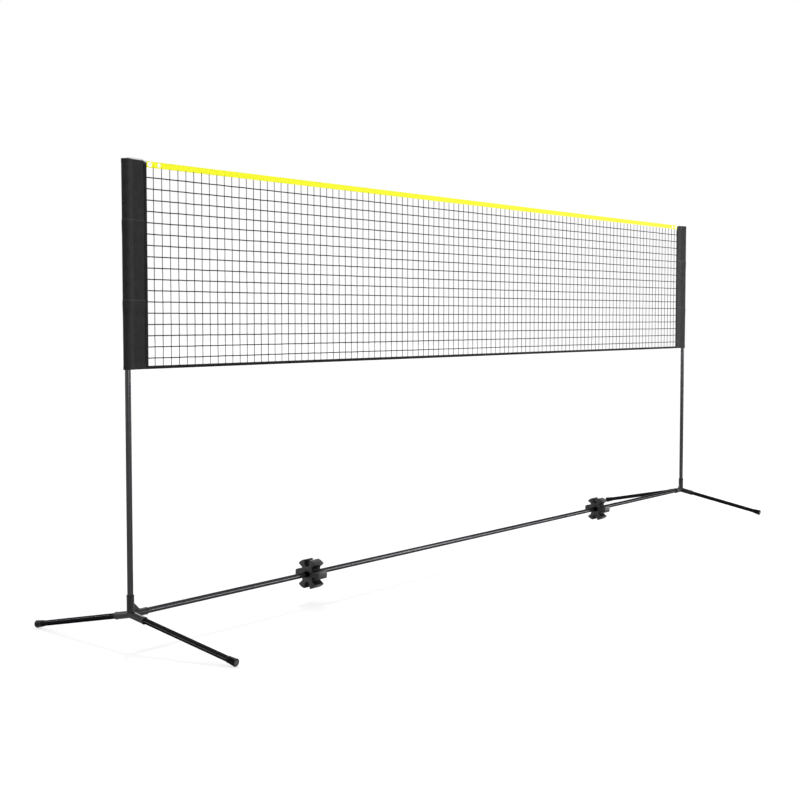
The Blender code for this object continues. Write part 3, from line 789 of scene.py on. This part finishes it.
def start_tree(name, kinds, result):
    """A geometry tree with named inputs, what adds a node to it, and its inputs as keys and as outputs."""
    tree = bpy.data.node_groups.new(name, "GeometryNodeTree")
    names = {}
    for kind, labels in kinds.items():
        for label in labels:
            socket = tree.interface.new_socket(label, in_out="INPUT", socket_type=f"NodeSocket{kind}")
            names[label] = socket.identifier
    tree.interface.new_socket(result, in_out="OUTPUT", socket_type="NodeSocketGeometry")
    add = partial(add_node, tree)
    return tree, add, names, add("NodeGroupInput").outputs


def end_tree(add, shape, material):
    """Makes the tree's instances real, gives them their material and hands them out."""
    real = add("GeometryNodeRealizeInstances", {0: shape})
    dressed = add("GeometryNodeSetMaterial", {0: real, "Material": material})
    add("NodeGroupOutput", {0: dressed})


def stitch_tree():
    """Stitches along the edges of a mesh: a small grain of thread at each step, turned along the row."""
    lengths = ("Stitch pitch", "Stitch length", "Thread thickness")
    kinds = {"Geometry": ("Rows",), "Float": lengths, "Material": ("Thread",)}
    tree, add, names, given = start_tree("stitch_rows", kinds, "Stitches")
    rows = add("GeometryNodeMeshToCurve", {"Mesh": given["Rows"]})
    steps = add("GeometryNodeResampleCurve", {"Curve": rows, "Length": given["Stitch pitch"]}, mode="LENGTH")
    tangent = add("GeometryNodeInputTangent")
    turn = add("FunctionNodeAlignRotationToVector", {"Vector": tangent}, axis="X")
    halves = []
    for label in ("Stitch length", "Thread thickness"):
        halves.append(add("ShaderNodeMath", {0: given[label], 1: 0.5}, operation="MULTIPLY"))
    size = add("ShaderNodeCombineXYZ", {0: halves[0], 1: halves[1], 2: halves[1]})
    grain = add("GeometryNodeMeshIcoSphere", {"Radius": 1.0, "Subdivisions": 1})
    sowing = {"Points": steps, "Instance": grain, "Rotation": turn, "Scale": size}
    end_tree(add, add("GeometryNodeInstanceOnPoints", sowing), given["Thread"])
    return tree, names


def grown(tree, names, values, mesh):
    """The plain mesh that a geometry tree makes of a mesh and its named inputs."""
    holder = set_out("holder", mesh)
    modifier = holder.modifiers.new("grown", "NODES")
    modifier.node_group = tree
    for label, value in values.items():
        modifier[names[label]] = value
    return evaluated(holder)


stitches, stitch_names = stitch_tree()


def sewn(name, rows, stitch, thread):
    """A piece of stitches, one stitch at each pitch along rows of points."""
    points, edges = [], []
    for row in rows:
        edges += [(len(points) + i, len(points) + i + 1) for i in range(len(row) - 1)]
        points += [tuple(point) for point in row]
    lines = bpy.data.meshes.new("rows")
    lines.from_pydata(points, edges, [])
    sizes = {**stitch, "Thread thickness": thread_thickness, "Thread": thread}
    mesh = grown(stitches, stitch_names, sizes, lines)
    return keep_piece(name, mesh, thread, "net_carriage")


# Bonded polyester thread, black and slightly glossier than the cloth, with the lay of its plies 0.5 mm apart.
thread_lay = {"grain_mm": 0.5, "strength": 0.4, "depth_mm": 0.1, "Specular_IOR_Level": 0.2}
black_thread = grained("black_bonded_thread", "#222223", 0.5, **thread_lay)
# Oxford cloth, 600 denier: matt black with a faint bloom. Its 0.6 mm yarns are drawn at 1.1 mm.
# The sleeve cloth carries a painted highlight at each packing fold.
crease_highlights_mm = [height / mm for height in fold_heights]
oxford = woven("black_polyester_oxford", "#202021", "#38383A", 0.86, 1.1, 0.25, crease_highlights_mm=crease_highlights_mm)

tangent = math.degrees(math.atan2(ply, flat_start) + math.acos(channel / math.hypot(flat_start, ply)))
loop = arc((0.0, 0.0), channel, tangent, 360 - tangent, 30)
line = [Vector((sleeve_edge, ply)), Vector((flat_start, ply))]
line += [Vector((x * channel_ease if x < 0 else x, y)) for x, y in loop]
line += [Vector((flat_start, -ply)), Vector((sleeve_edge, -ply))]
line = path_points(line, sleeve_step)
for side, end_place in end_places.items():
    seed = sleeve_seeds[side]
    mesh, width = sheet_mesh(line, net_bottom, sleeve_top, sleeve_rows, cloth_push, seed, end_place)
    mesh = settled(mesh, ("SOLIDIFY", {"thickness": sheet_thickness, "offset": 0.0}))
    name = f"cloth_sleeve_{side}"
    sleeve = keep_piece(name, mesh, oxford, "net_carriage", [f"sleeve_{side}"], 60)
    rows = []
    for face in (-1, 1):
        for x in channel_seams:
            y = face * (2 * ply + channel_seam_lift)
            rows.append([end_place @ Vector((x, y, z)) for z in channel_seam_ends])
        for z in hem_seams:
            y = face * (2 * ply + hem_seam_lift)
            rows.append([end_place @ Vector((x, y, z)) for x in hem_seam_ends])
    seam = sewn(f"sleeve_stitching_{side}", rows, seam_stitch, black_thread)

# Side bindings
# A woven tape is folded over the sleeve's inner edge and sewn through with two rows, which also hold the
# ends of the net's cords.
tape_thick = 0.8 * mm
tape_sheet = 0.75 * mm
binding_back = sleeve_width - 12 * mm
binding_half = cloth + fit_gap + tape_thick / 2
binding_top = net_top - cord_drop
binding_bend = sleeve_width - tape_thick / 2 - binding_half
binding_seeds = {"left": Vector((3.1, 5.5, 1.2)), "right": Vector((9.4, 2.6, 7.7))}
tape_rows = 120
tape_step = 1.5 * mm
cockle = 0.18 * mm
cockles_per_metre = (20, 16)
binding_seams = (binding_back + 2.2 * mm, sleeve_width - 3.6 * mm)
binding_seam_ends = (net_bottom + 2 * mm, binding_top - 2 * mm)
stitch_lift = 0.1 * mm
rib_pitch = 0.9 * mm
rib_wear = 25 * mm


def tape_push(run, height, point, seed):
    """The tape cockles slightly along its edge."""
    return cockle * ripple(run, height, cockles_per_metre, 0.0, seed)


# Polyester grosgrain: ribs across the tape, 0.9 mm apart, darker than the cloth beside it.
grosgrain, add, shader = start_finish("black_grosgrain_tape", "#141415", 0.78, Specular_IOR_Level=0.12)
where = add("ShaderNodeTexCoord").outputs["Object"]
height = add("ShaderNodeSeparateXYZ", {0: where}).outputs["Z"]
turn = add("ShaderNodeMath", {0: height, 1: math.tau / rib_pitch}, operation="MULTIPLY")
rib = add("ShaderNodeMath", {0: turn}, operation="SINE")
relief = add("ShaderNodeBump", {"Height": rib, "Strength": 0.45, "Distance": 0.15 * mm})
wear = add("ShaderNodeTexNoise", {"Vector": where, "Scale": 1 / rib_wear})
gloss = add("ShaderNodeMapRange", {"Value": wear, "To Min": 0.70, "To Max": 0.86})
feed(shader, {"Roughness": gloss, "Normal": relief})

line = [Vector((binding_back, binding_half)), Vector((binding_bend, binding_half))]
line += [Vector(point) for point in arc((binding_bend, 0.0), binding_half, 90, -90, 12)[1:]]
line += [Vector((binding_back, -binding_half))]
line = path_points(line, tape_step)
for side, end_place in end_places.items():
    seed = binding_seeds[side]
    mesh, width = sheet_mesh(line, net_bottom, lambda x: binding_top, tape_rows, tape_push, seed, end_place)
    mesh = settled(mesh, ("SOLIDIFY", {"thickness": tape_sheet, "offset": 0.0}))
    name, node = f"edge_binding_{side}", f"side_binding_{side}"
    binding = keep_piece(name, mesh, grosgrain, "net_carriage", [node], 60)
    rows = []
    for face in (-1, 1):
        for x in binding_seams:
            y = face * (binding_half + tape_thick / 2 + stitch_lift)
            rows.append([end_place @ Vector((x, y, z)) for z in binding_seam_ends])
    seam = sewn(f"binding_stitching_{side}", rows, seam_stitch, black_thread)

# Netting
# Knotted polyethylene cord, 106 upright and 17 level, makes a mesh of about 36 mm. Its cords pull a little
# out of true between the knots. They end inside the band, the hem and the bindings.
net_half = post_x - sleeve_width - fit_gap
columns = 106
levels = 17
side_margin = 0.81
top_margin = 1.14
bottom_margin = 0.82
column_pitch = 2 * net_half / (columns - 1 + 2 * side_margin)
band_height = 20 * mm
hem_height = 10.5 * mm
net_span = net_top - band_height / 2 - net_bottom - hem_height / 2
row_pitch = net_span / (levels - 1 + top_margin + bottom_margin)
lowest_row = net_bottom + hem_height / 2 + bottom_margin * row_pitch
first_x = -net_half + side_margin * column_pitch
pull = 2.2 * mm
pulls_per_metre = 19.0
cord_reach = 4 * mm
level_reach = 0.1 * mm
knot_tilt = (0.5, 0.6, 0.5)
twine_plies = 3
twine_turn = 5 * mm


def net_tree():
    """The whole net from its counts and pitches: upright cords, level cords and a knot at each crossing."""
    kinds = {
        "Int": ("Columns", "Rows"),
        "Float": ("Column pitch", "Row pitch", "Upright radius", "Level radius", "Pull"),
        "Vector": ("Lowest corner", "Upright from", "Upright to", "Level from", "Level to", "Knot size"),
        "Material": ("Cord",),
    }
    tree, add, names, given = start_tree("knotted_net", kinds, "Net")
    place = add("GeometryNodeInputPosition")
    drift = add("ShaderNodeTexNoise", {"Vector": place, "Scale": pulls_per_metre, "Detail": 1.0})
    middle = {0: drift.outputs["Color"], 1: (0.5, 0.5, 0.5)}
    centred = add("ShaderNodeVectorMath", middle, operation="SUBTRACT")
    slack = add("ShaderNodeVectorMath", {0: centred, "Scale": given["Pull"]}, operation="SCALE")
    stored = {"data_type": "FLOAT", "domain": "POINT"}
    cords, spans = [], []
    for way, own, other, step in (
        ("Upright", "Row", "Column", (1.0, 0.0, 0.0)),
        ("Level", "Column", "Row", (0.0, 0.0, 1.0)),
    ):
        count, pitch = given[f"{other}s"], given[f"{other} pitch"]
        ends = {"Start": given[f"{way} from"], "End": given[f"{way} to"]}
        line = add("GeometryNodeCurvePrimitiveLine", ends)
        halves = add("ShaderNodeMath", {0: given[f"{own}s"], 1: 2.0}, operation="MULTIPLY")
        dense = add("GeometryNodeResampleCurve", {"Curve": line, "Count": halves}, mode="COUNT")
        offset = add("ShaderNodeVectorMath", {0: step, "Scale": pitch}, operation="SCALE")
        copies = add("GeometryNodeMeshLine", {"Count": count, "Offset": offset}, mode="OFFSET")
        sown = add("GeometryNodeInstanceOnPoints", {"Points": copies, "Instance": dense})
        real = add("GeometryNodeRealizeInstances", {0: sown})
        eased = add("GeometryNodeSetPosition", {0: real, "Offset": slack})
        run = add("GeometryNodeSplineParameter").outputs["Length"]
        ring = add("GeometryNodeCurvePrimitiveCircle", {"Resolution": 6, "Radius": given[f"{way} radius"]})
        turn = add("GeometryNodeSplineParameter").outputs["Factor"]
        along = add("GeometryNodeStoreNamedAttribute", {0: eased, "Name": "along", "Value": run}, **stored)
        around = add("GeometryNodeStoreNamedAttribute", {0: ring, "Name": "around", "Value": turn}, **stored)
        tube = {"Curve": along, "Profile Curve": around, "Fill Caps": True}
        cords.append(add("GeometryNodeCurveToMesh", tube))
        less = add("ShaderNodeMath", {0: count, 1: -1.0}, operation="ADD")
        spans.append(add("ShaderNodeMath", {0: less, 1: pitch}, operation="MULTIPLY"))
    wide, high = spans
    counts = {"Vertices X": given["Columns"], "Vertices Y": given["Rows"]}
    grid = add("GeometryNodeMeshGrid", {"Size X": wide, "Size Y": high, **counts})
    half = add("ShaderNodeCombineXYZ", {0: wide, 2: high})
    middle = add("ShaderNodeVectorMath", {0: half, "Scale": 0.5}, operation="SCALE")
    centre = add("ShaderNodeVectorMath", {0: middle, 1: given["Lowest corner"]}, operation="ADD")
    stood_up = {"Translation": centre, "Rotation": (math.pi / 2, 0.0, 0.0)}
    upright = add("GeometryNodeTransform", {0: grid, **stood_up})
    crossings = add("GeometryNodeSetPosition", {0: upright, "Offset": slack})
    ball = add("GeometryNodeMeshIcoSphere", {"Radius": 1.0, "Subdivisions": 1})
    swing = {0: [-angle for angle in knot_tilt], 1: knot_tilt, "Seed": 4}
    tilt = add("FunctionNodeRandomValue", swing, data_type="FLOAT_VECTOR")
    knots = {"Points": crossings, "Instance": ball, "Rotation": tilt, "Scale": given["Knot size"]}
    whole = add("GeometryNodeJoinGeometry")
    for part in (add("GeometryNodeInstanceOnPoints", knots), *cords):
        feed(whole, {0: part})
    end_tree(add, whole, given["Cord"])
    return tree, names


# Twisted polyethylene twine: black, with a dull waxy gloss. Its three plies make a turn in every 5 mm.
twine, add, shader = start_finish("black_twisted_pe_twine", "#121212", 0.72, Specular_IOR_Level=0.1)
along = add("ShaderNodeAttribute", attribute_name="along").outputs["Fac"]
around = add("ShaderNodeAttribute", attribute_name="around").outputs["Fac"]
turns = add("ShaderNodeMath", {0: along, 1: 1 / twine_turn}, operation="MULTIPLY")
twist = add("ShaderNodeMath", {0: around, 1: turns}, operation="ADD")
phase = add("ShaderNodeMath", {0: twist, 1: twine_plies * math.tau}, operation="MULTIPLY")
plies = add("ShaderNodeMath", {0: phase}, operation="SINE")
tone = add("ShaderNodeMapRange", {"Value": plies, "From Min": -1.0})
shade = add("ShaderNodeValToRGB", {0: tone})
shade.color_ramp.elements[0].color = linear("#080808")
shade.color_ramp.elements[1].color = linear("#161616")
relief = add("ShaderNodeBump", {"Height": tone, "Strength": 0.6, "Distance": 0.3 * mm})
feed(shader, {"Base Color": shade, "Normal": relief})

tree, names = net_tree()
sizes = {
    "Columns": columns,
    "Rows": levels,
    "Column pitch": column_pitch,
    "Row pitch": row_pitch,
    "Lowest corner": (first_x, 0.0, lowest_row),
    "Upright from": (first_x, 0.0, net_bottom + hem_height - cord_reach),
    "Upright to": (first_x, 0.0, net_top - band_height + cord_reach),
    "Level from": (-net_half - level_reach, 0.0, lowest_row),
    "Level to": (net_half + level_reach, 0.0, lowest_row),
    "Upright radius": 1.25 * mm,
    "Level radius": 2.0 * mm,
    "Knot size": (3.0 * mm, 2.3 * mm, 2.8 * mm),
    "Pull": pull,
    "Cord": twine,
}
mesh = grown(tree, names, sizes, bpy.data.meshes.new("empty"))
keep_piece("knotted_netting", mesh, twine, "net_carriage", ["net_mesh"], 80)

# Top band
# A bright yellow coated polyester band is folded over the net's headline and sewn with two rows. The headline
# fills the fold, so its top edge is round, and its ends are punched for eyelets.
band_bottom = net_top - band_height
band_half = 1.0 * mm
headline = 1.9 * mm
headline_foot = net_top - 3 * mm
flank_top = net_top - 4.6 * mm
eyelet_height = 14.2 * mm
eyelet_rim = 2.2 * mm
slot_length = 20 * mm
slot_centre = sleeve_width + fit_gap + 3.8 * mm + slot_length / 2
round_centre = slot_centre + (slot_length + eyelet_height) / 2 + 23.5 * mm
eyelets = (("slot", slot_length, slot_centre), ("round", eyelet_height, round_centre))
eyelet_middle = net_top - band_height / 2
still_end = 0.25
band_step = 12 * mm
band_wander = 1.6 * mm
band_waves_per_metre = (2.3, 12)
punch_reach = 6 * mm
band_stitch = {"Stitch pitch": 5.2 * mm, "Stitch length": 4.0 * mm}
band_seams = (net_top - 6 * mm, band_bottom + 2.6 * mm)
band_seam_skip = 70 * mm
seam_steps = 320


def stadium(length, height, steps=16):
    """A slot's outline about its centre, or a circle where its length is its height."""
    radius, run = height / 2, (length - height) / 2
    return arc((run, 0.0), radius, -90, 90, steps) + arc((-run, 0.0), radius, 90, 270, steps)


def long_band(section, push):
    """A closed (y, z) section drawn along the net and moved by push(x, z), with a UV map in millimetres."""
    shape = bmesh.new()
    count = round(2 * net_half / band_step)
    runs = [0.0]
    for first, second in zip(section, section[1:] + section[:1]):
        runs.append(runs[-1] + math.dist(first, second))
    rings = []
    for i in range(count + 1):
        x = -net_half + 2 * net_half * i / count
        rings.append([shape.verts.new((x, y + push(x, z), z)) for y, z in section])
    skin(shape, rings, lambda i, k: (rings[i][0].co.x / mm, runs[k] / mm))
    return mesh_of(shape)


def wander(x, reach, spot):
    """A strap stands straight at its ends and wanders a little between them."""
    return min(1.0, (net_half - abs(x)) / still_end) * reach * noise.noise(Vector(spot))


def band_push(x, z):
    """The band's own wander, which also twists it slightly."""
    along, up = band_waves_per_metre
    return wander(x, band_wander, (x * along, z * up, 0.7))


def band_rows(heights, half, push, skip):
    """Lines along both faces of a band at the given heights, leaving its ends out."""
    steps = [-net_half + skip + 2 * (net_half - skip) * i / seam_steps for i in range(seam_steps + 1)]
    return [[(x, face * half + push(x, z), z) for x in steps] for face in (-1, 1) for z in heights]


# Vinyl-coated polyester, a pure and even light yellow. Its 1.3 mm weave shows faintly through the coat.
yellow = woven("yellow_coated_polyester", "#FAFD22", "#FEFF2C", 0.60, 1.3, 0.05, sheen=0.0)
# The same thread as the sleeves', dyed yellow.
yellow_thread = grained("yellow_bonded_thread", "#F7FA22", 0.5, **thread_lay)

flank = [(headline * 0.95, headline_foot), (band_half, flank_top)]
flank += [(band_half, net_top - band_height * share) for share in (0.4, 0.6, 0.8)]
flank += [(band_half, band_bottom + 0.3 * mm), (band_half * 0.6, band_bottom)]
section = arc((0.0, net_top - headline), headline, 0, 180, 10) + [(-y, z) for y, z in flank] + flank[::-1]
punches = []
for side, end_place in end_places.items():
    for kind, length, centre in eyelets:
        place = end_place @ Matrix.Translation((centre, 0.0, eyelet_middle))
        punches.append(prism(stadium(length - eyelet_rim, eyelet_height - eyelet_rim), punch_reach, place))
mesh = cut(long_band(section, band_push), punches)
keep_piece("yellow_top_band", mesh, yellow, "net_carriage", ["top_band"], 50)
rows = band_rows(band_seams, band_half + stitch_lift, band_push, band_seam_skip)
sewn("band_stitching", rows, band_stitch, yellow_thread)

# Eyelets
# Pressed rings of nickel-plated brass, rolled over both faces of the band: a slot beside the sleeve and a
# round one next to it, at each end.
eyelet_half = 1.6 * mm

# Nickel plate over brass: bright, slightly warm, with the soft waviness of a pressed ring, 3 mm across.
nickel = grained("bright_nickel_plate", "#D9D8D4", 0.16, grain_mm=3, strength=0.2, depth_mm=0.1, Metallic=1.0)


def rolled_ring(length, height, place):
    """A ring whose rim is rolled into a half round on each face, following a slot or a circle."""
    section = [(eyelet_rim / 2 * x, eyelet_half * y) for x, y in arc((0.0, 0.0), 1.0, 0, 360, 16)[:-1]]
    run = (length - height) / 2
    shape = bmesh.new()
    rings = []
    for x, z in without_doubles(stadium(length - eyelet_rim, height - eyelet_rim, 20)):
        point = Vector((x, 0.0, z))
        out = (point - Vector((min(max(x, -run), run), 0.0, 0.0))).normalized()
        rings.append([shape.verts.new(point + out * a + Vector((0.0, b, 0.0))) for a, b in section])
    for i in range(len(rings)):
        for k in range(len(section)):
            shape.faces.new((rings[i - 1][k - 1], rings[i - 1][k], rings[i][k], rings[i][k - 1]))
    return mesh_of(shape, place)


for side, end_place in end_places.items():
    for kind, length, centre in eyelets:
        place = end_place @ Matrix.Translation((centre, 0.0, eyelet_middle))
        mesh = rolled_ring(length, eyelet_height, place)
        node = f"{kind}_eyelet_{side}"
        keep_piece(f"pressed_{node}", mesh, nickel, "net_carriage", [node], 60)

# Bottom hem
# A narrow black band of the same cloth as the sleeves, folded over the lowest cords and sewn with one row.
hem_half = 1.2 * mm
hem_top = net_bottom + hem_height
hem_fold = net_bottom + hem_half
hem_shoulder = hem_top - 0.4 * mm
hem_lip_half = hem_half * 0.7
hem_wander = 1.8 * mm
hem_waves_per_metre = 2.9
bottom_seam = hem_top - 3 * mm
bottom_seam_skip = 6 * mm
# The sleeves' cloth again, in a closer and darker weave: matt black.
hem_cloth = woven("black_polyester_hem_band", "#121213", "#242425", 0.84, 1.1, 0.2)


def hem_push(x, z):
    """The hem's own wander, the same at every height."""
    return wander(x, hem_wander, (x * hem_waves_per_metre, 4.4, 2.1))


section = [(hem_lip_half, hem_top), (-hem_lip_half, hem_top), (-hem_half, hem_shoulder)]
section += [(-hem_half, hem_fold)] + arc((0.0, hem_fold), hem_half, 190, 350, 8) + [(hem_half, hem_fold)]
section += [(hem_half, hem_shoulder)]
mesh = long_band(section, hem_push)
keep_piece("folded_bottom_hem", mesh, hem_cloth, "net_carriage", ["bottom_hem"], 50)
rows = band_rows([bottom_seam], hem_half + stitch_lift, hem_push, bottom_seam_skip)
sewn("hem_stitching", rows, band_stitch, black_thread)

# Storage hubs
# Two moulded hubs sit on the crossbar. Six round-bottomed slots between T-headed arms cradle the tubes when
# the set is packed. All the edges are softened, and a shallow recess rings the bore at each face.
hub_places = {"left": -1.140, "right": 1.078}
hub_radius = 56 * mm
hub_half_length = 25 * mm
slot_half = 10.5 * mm
slot_bottom = 38.5 * mm
slot_flare = 1.5 * mm
recess_radius = tube_radius + 2.3 * mm
recess_depth = 6 * mm
head_round = 3 * mm
hub_edge = 0.9 * mm
# The painted shade covers the slots' walls between these two radii.
shade_paint_from = socket_radius + recess_depth
shade_paint_to = hub_radius - head_round - 1 * mm
along_bar = Matrix(((0, -1, 0, 0), (1, 0, 0, 0), (0, 0, 1, 0), (0, 0, 0, 1)))


def hub_outline():
    """Six arms with T heads: a disc with round-bottomed slots, flared at their mouths, corners rounded."""
    inset = hub_radius - head_round
    corner = math.degrees(math.asin((slot_half + slot_flare + head_round) / inset))
    points = []
    for turn in range(30, 390, 60):
        spin = Matrix.Rotation(math.radians(turn), 2)
        points += [spin @ Vector(p) for p in arc((slot_bottom, 0.0), slot_half, -90, -270, 18)]
        first, last = turn + corner, turn + 60 - corner
        for at, start, end in ((first, turn - 90, first), (last, last, turn + 150)):
            points += arc(arc((0.0, 0.0), inset, at, at, 1)[0], head_round, start, end, 6)
            if at == first:
                points += arc((0.0, 0.0), hub_radius, first, last, 8)[1:-1]
    return points


# Injection-moulded polypropylene, dark grey, with a soft gloss on its edges, a spark-eroded grain of 0.8 mm
# and faint flow clouds 22 mm across. The slots' walls are painted nearly black and dull: painted shade, where
# little light reaches into the slots.
hub_look = {"grain_mm": 0.8, "strength": 0.35, "depth_mm": 0.1, "detail": 3.0, "cloud_mm": 22}
hub_plastic = grained(
    "dark_grey_moulded_pp", "#2B2B2C", 0.48, hex_dark="#232324", Specular_IOR_Level=0.22, **hub_look
)
slot_walls_painted_shade = grained(
    "slot_walls_painted_shade_pp", "#101010", 0.60, hex_dark="#080808", Specular_IOR_Level=0.06, **hub_look
)

seat = hub_half_length - recess_depth
past = hub_half_length + recess_depth
bore = [(0.0, past), (recess_radius, past), (recess_radius, seat), (socket_radius, seat)]
bore += [(radius, -height) for radius, height in reversed(bore)]
softened = {"width": hub_edge, "segments": 3, "limit_method": "ANGLE", "angle_limit": math.radians(50)}
for side, x in hub_places.items():
    place = Matrix.Translation((x, 0.0, bar_height))
    blank = prism(hub_outline(), -hub_half_length, place @ along_bar)
    bored = cut(blank, [turned_mesh(bore, place @ Matrix.Rotation(math.pi / 2, 4, "Y"))])
    mesh = settled(bored, ("BEVEL", softened))
    name, node = f"moulded_hub_{side}", f"storage_hub_{side}"
    hub = keep_piece(name, mesh, hub_plastic, f"{side}_hub", [node], 45)
    # The faces of the slots' walls take the painted shade.
    hub.data.materials.append(slot_walls_painted_shade)
    for face in hub.data.polygons:
        out = math.hypot(face.center.y, face.center.z - bar_height)
        if abs(face.normal.x) < 0.5 and shade_paint_from < out < shade_paint_to:
            face.material_index = 1

# Floor, backdrop and light
# The photograph is cut out on plain white. A wide pale floor takes a faint shadow, and the world is white to
# the camera and to reflections.
floor_reach = 40.0
floor_thickness = 0.02
floor_glow = 0.68
world_light = 0.35
white = (1.0, 1.0, 1.0, 1.0)


def seen_straight(add):
    """1 where a ray shows the surface, also in metal or through glass, and 0 where it lights others."""
    rays = add("ShaderNodeLightPath").outputs
    seen = rays["Is Camera Ray"]
    for kind in ("Is Glossy Ray", "Is Transmission Ray"):
        seen = add("ShaderNodeMath", {0: seen, 1: rays[kind]}, operation="MAXIMUM").outputs[0]
    return seen


# Matt white studio paper: it shows as plain white, and only the object's shadow dims it a little.
low_corner, high_corner = (-floor_reach, -floor_reach, -floor_thickness), (floor_reach, floor_reach, 0.0)
floor = set_out("floor", solid_box(low_corner, high_corner))
floor_finish, add, shader = start_finish("white_studio_floor", "#A9A9A9", 0.9, Specular_IOR_Level=0.0)
glow = add("ShaderNodeMath", {0: seen_straight(add), 1: floor_glow}, operation="MULTIPLY")
glowing = add("ShaderNodeEmission", {"Color": white, "Strength": glow})
both = add("ShaderNodeAddShader", {0: shader, 1: glowing})
feed(floor_finish.node_tree.nodes["Material Output"], {"Surface": both})
floor.data.materials.append(floor_finish)

world = bpy.data.worlds.new("white_studio")
world.use_nodes = True
bpy.context.scene.world = world
add = partial(add_node, world.node_tree)
level = add("ShaderNodeMapRange", {"Value": seen_straight(add), "To Min": world_light, "To Max": 1.0})
feed(world.node_tree.nodes["Background"], {"Color": white, "Strength": level})


def aim(lamp, towards):
    """Turns a lamp so that it shines from a direction."""
    lamp.rotation_euler = Vector(towards).to_track_quat("Z", "Y").to_euler()


# Suns light the whole length of the net alike. Each has the side it shines from, the spread in degrees that
# softens it, and its strength. A fan of four reaches the far end from the front.
suns = {"front_light": ((-0.34, -0.94, 0.03), 20.0, 1.35)}
for number, (reach, strength) in enumerate(((0.70, 0.40), (0.79, 0.42), (0.85, 0.52), (0.90, 0.28))):
    suns[f"far_front_light_{number + 1}"] = ((reach, -math.sqrt(1 - reach * reach), 0.03), 9.0, strength)
suns |= {
    "top_light": ((0.10, 0.45, 0.89), 40.0, 0.8),
    "front_leg_light": ((0.56, 0.51, 0.65), 6.0, 1.30),
    "left_side_light": ((-0.76, 0.64, 0.03), 7.0, 0.50),
    "rear_leg_light": ((-0.30, 0.87, 0.40), 5.0, 0.70),
}
for name, (towards, spread, strength) in suns.items():
    sun = bpy.data.lights.new(name, "SUN")
    sun.angle = math.radians(spread)
    sun.energy = strength
    aim(set_out(name, sun), towards)

# A small panel beside the right end lifts that sleeve, as the photograph's does.
right_end_middle = Vector((2.0, 0.0, 1.15))
panel = bpy.data.lights.new("right_end_light", "AREA")
panel.size = 0.6
panel.energy = 26.0
lamp = set_out("right_end_light", panel)
lamp.location = (1.95, -1.5, 1.15)
aim(lamp, lamp.location - right_end_middle)

bpy.context.scene.view_settings.view_transform = "Standard"
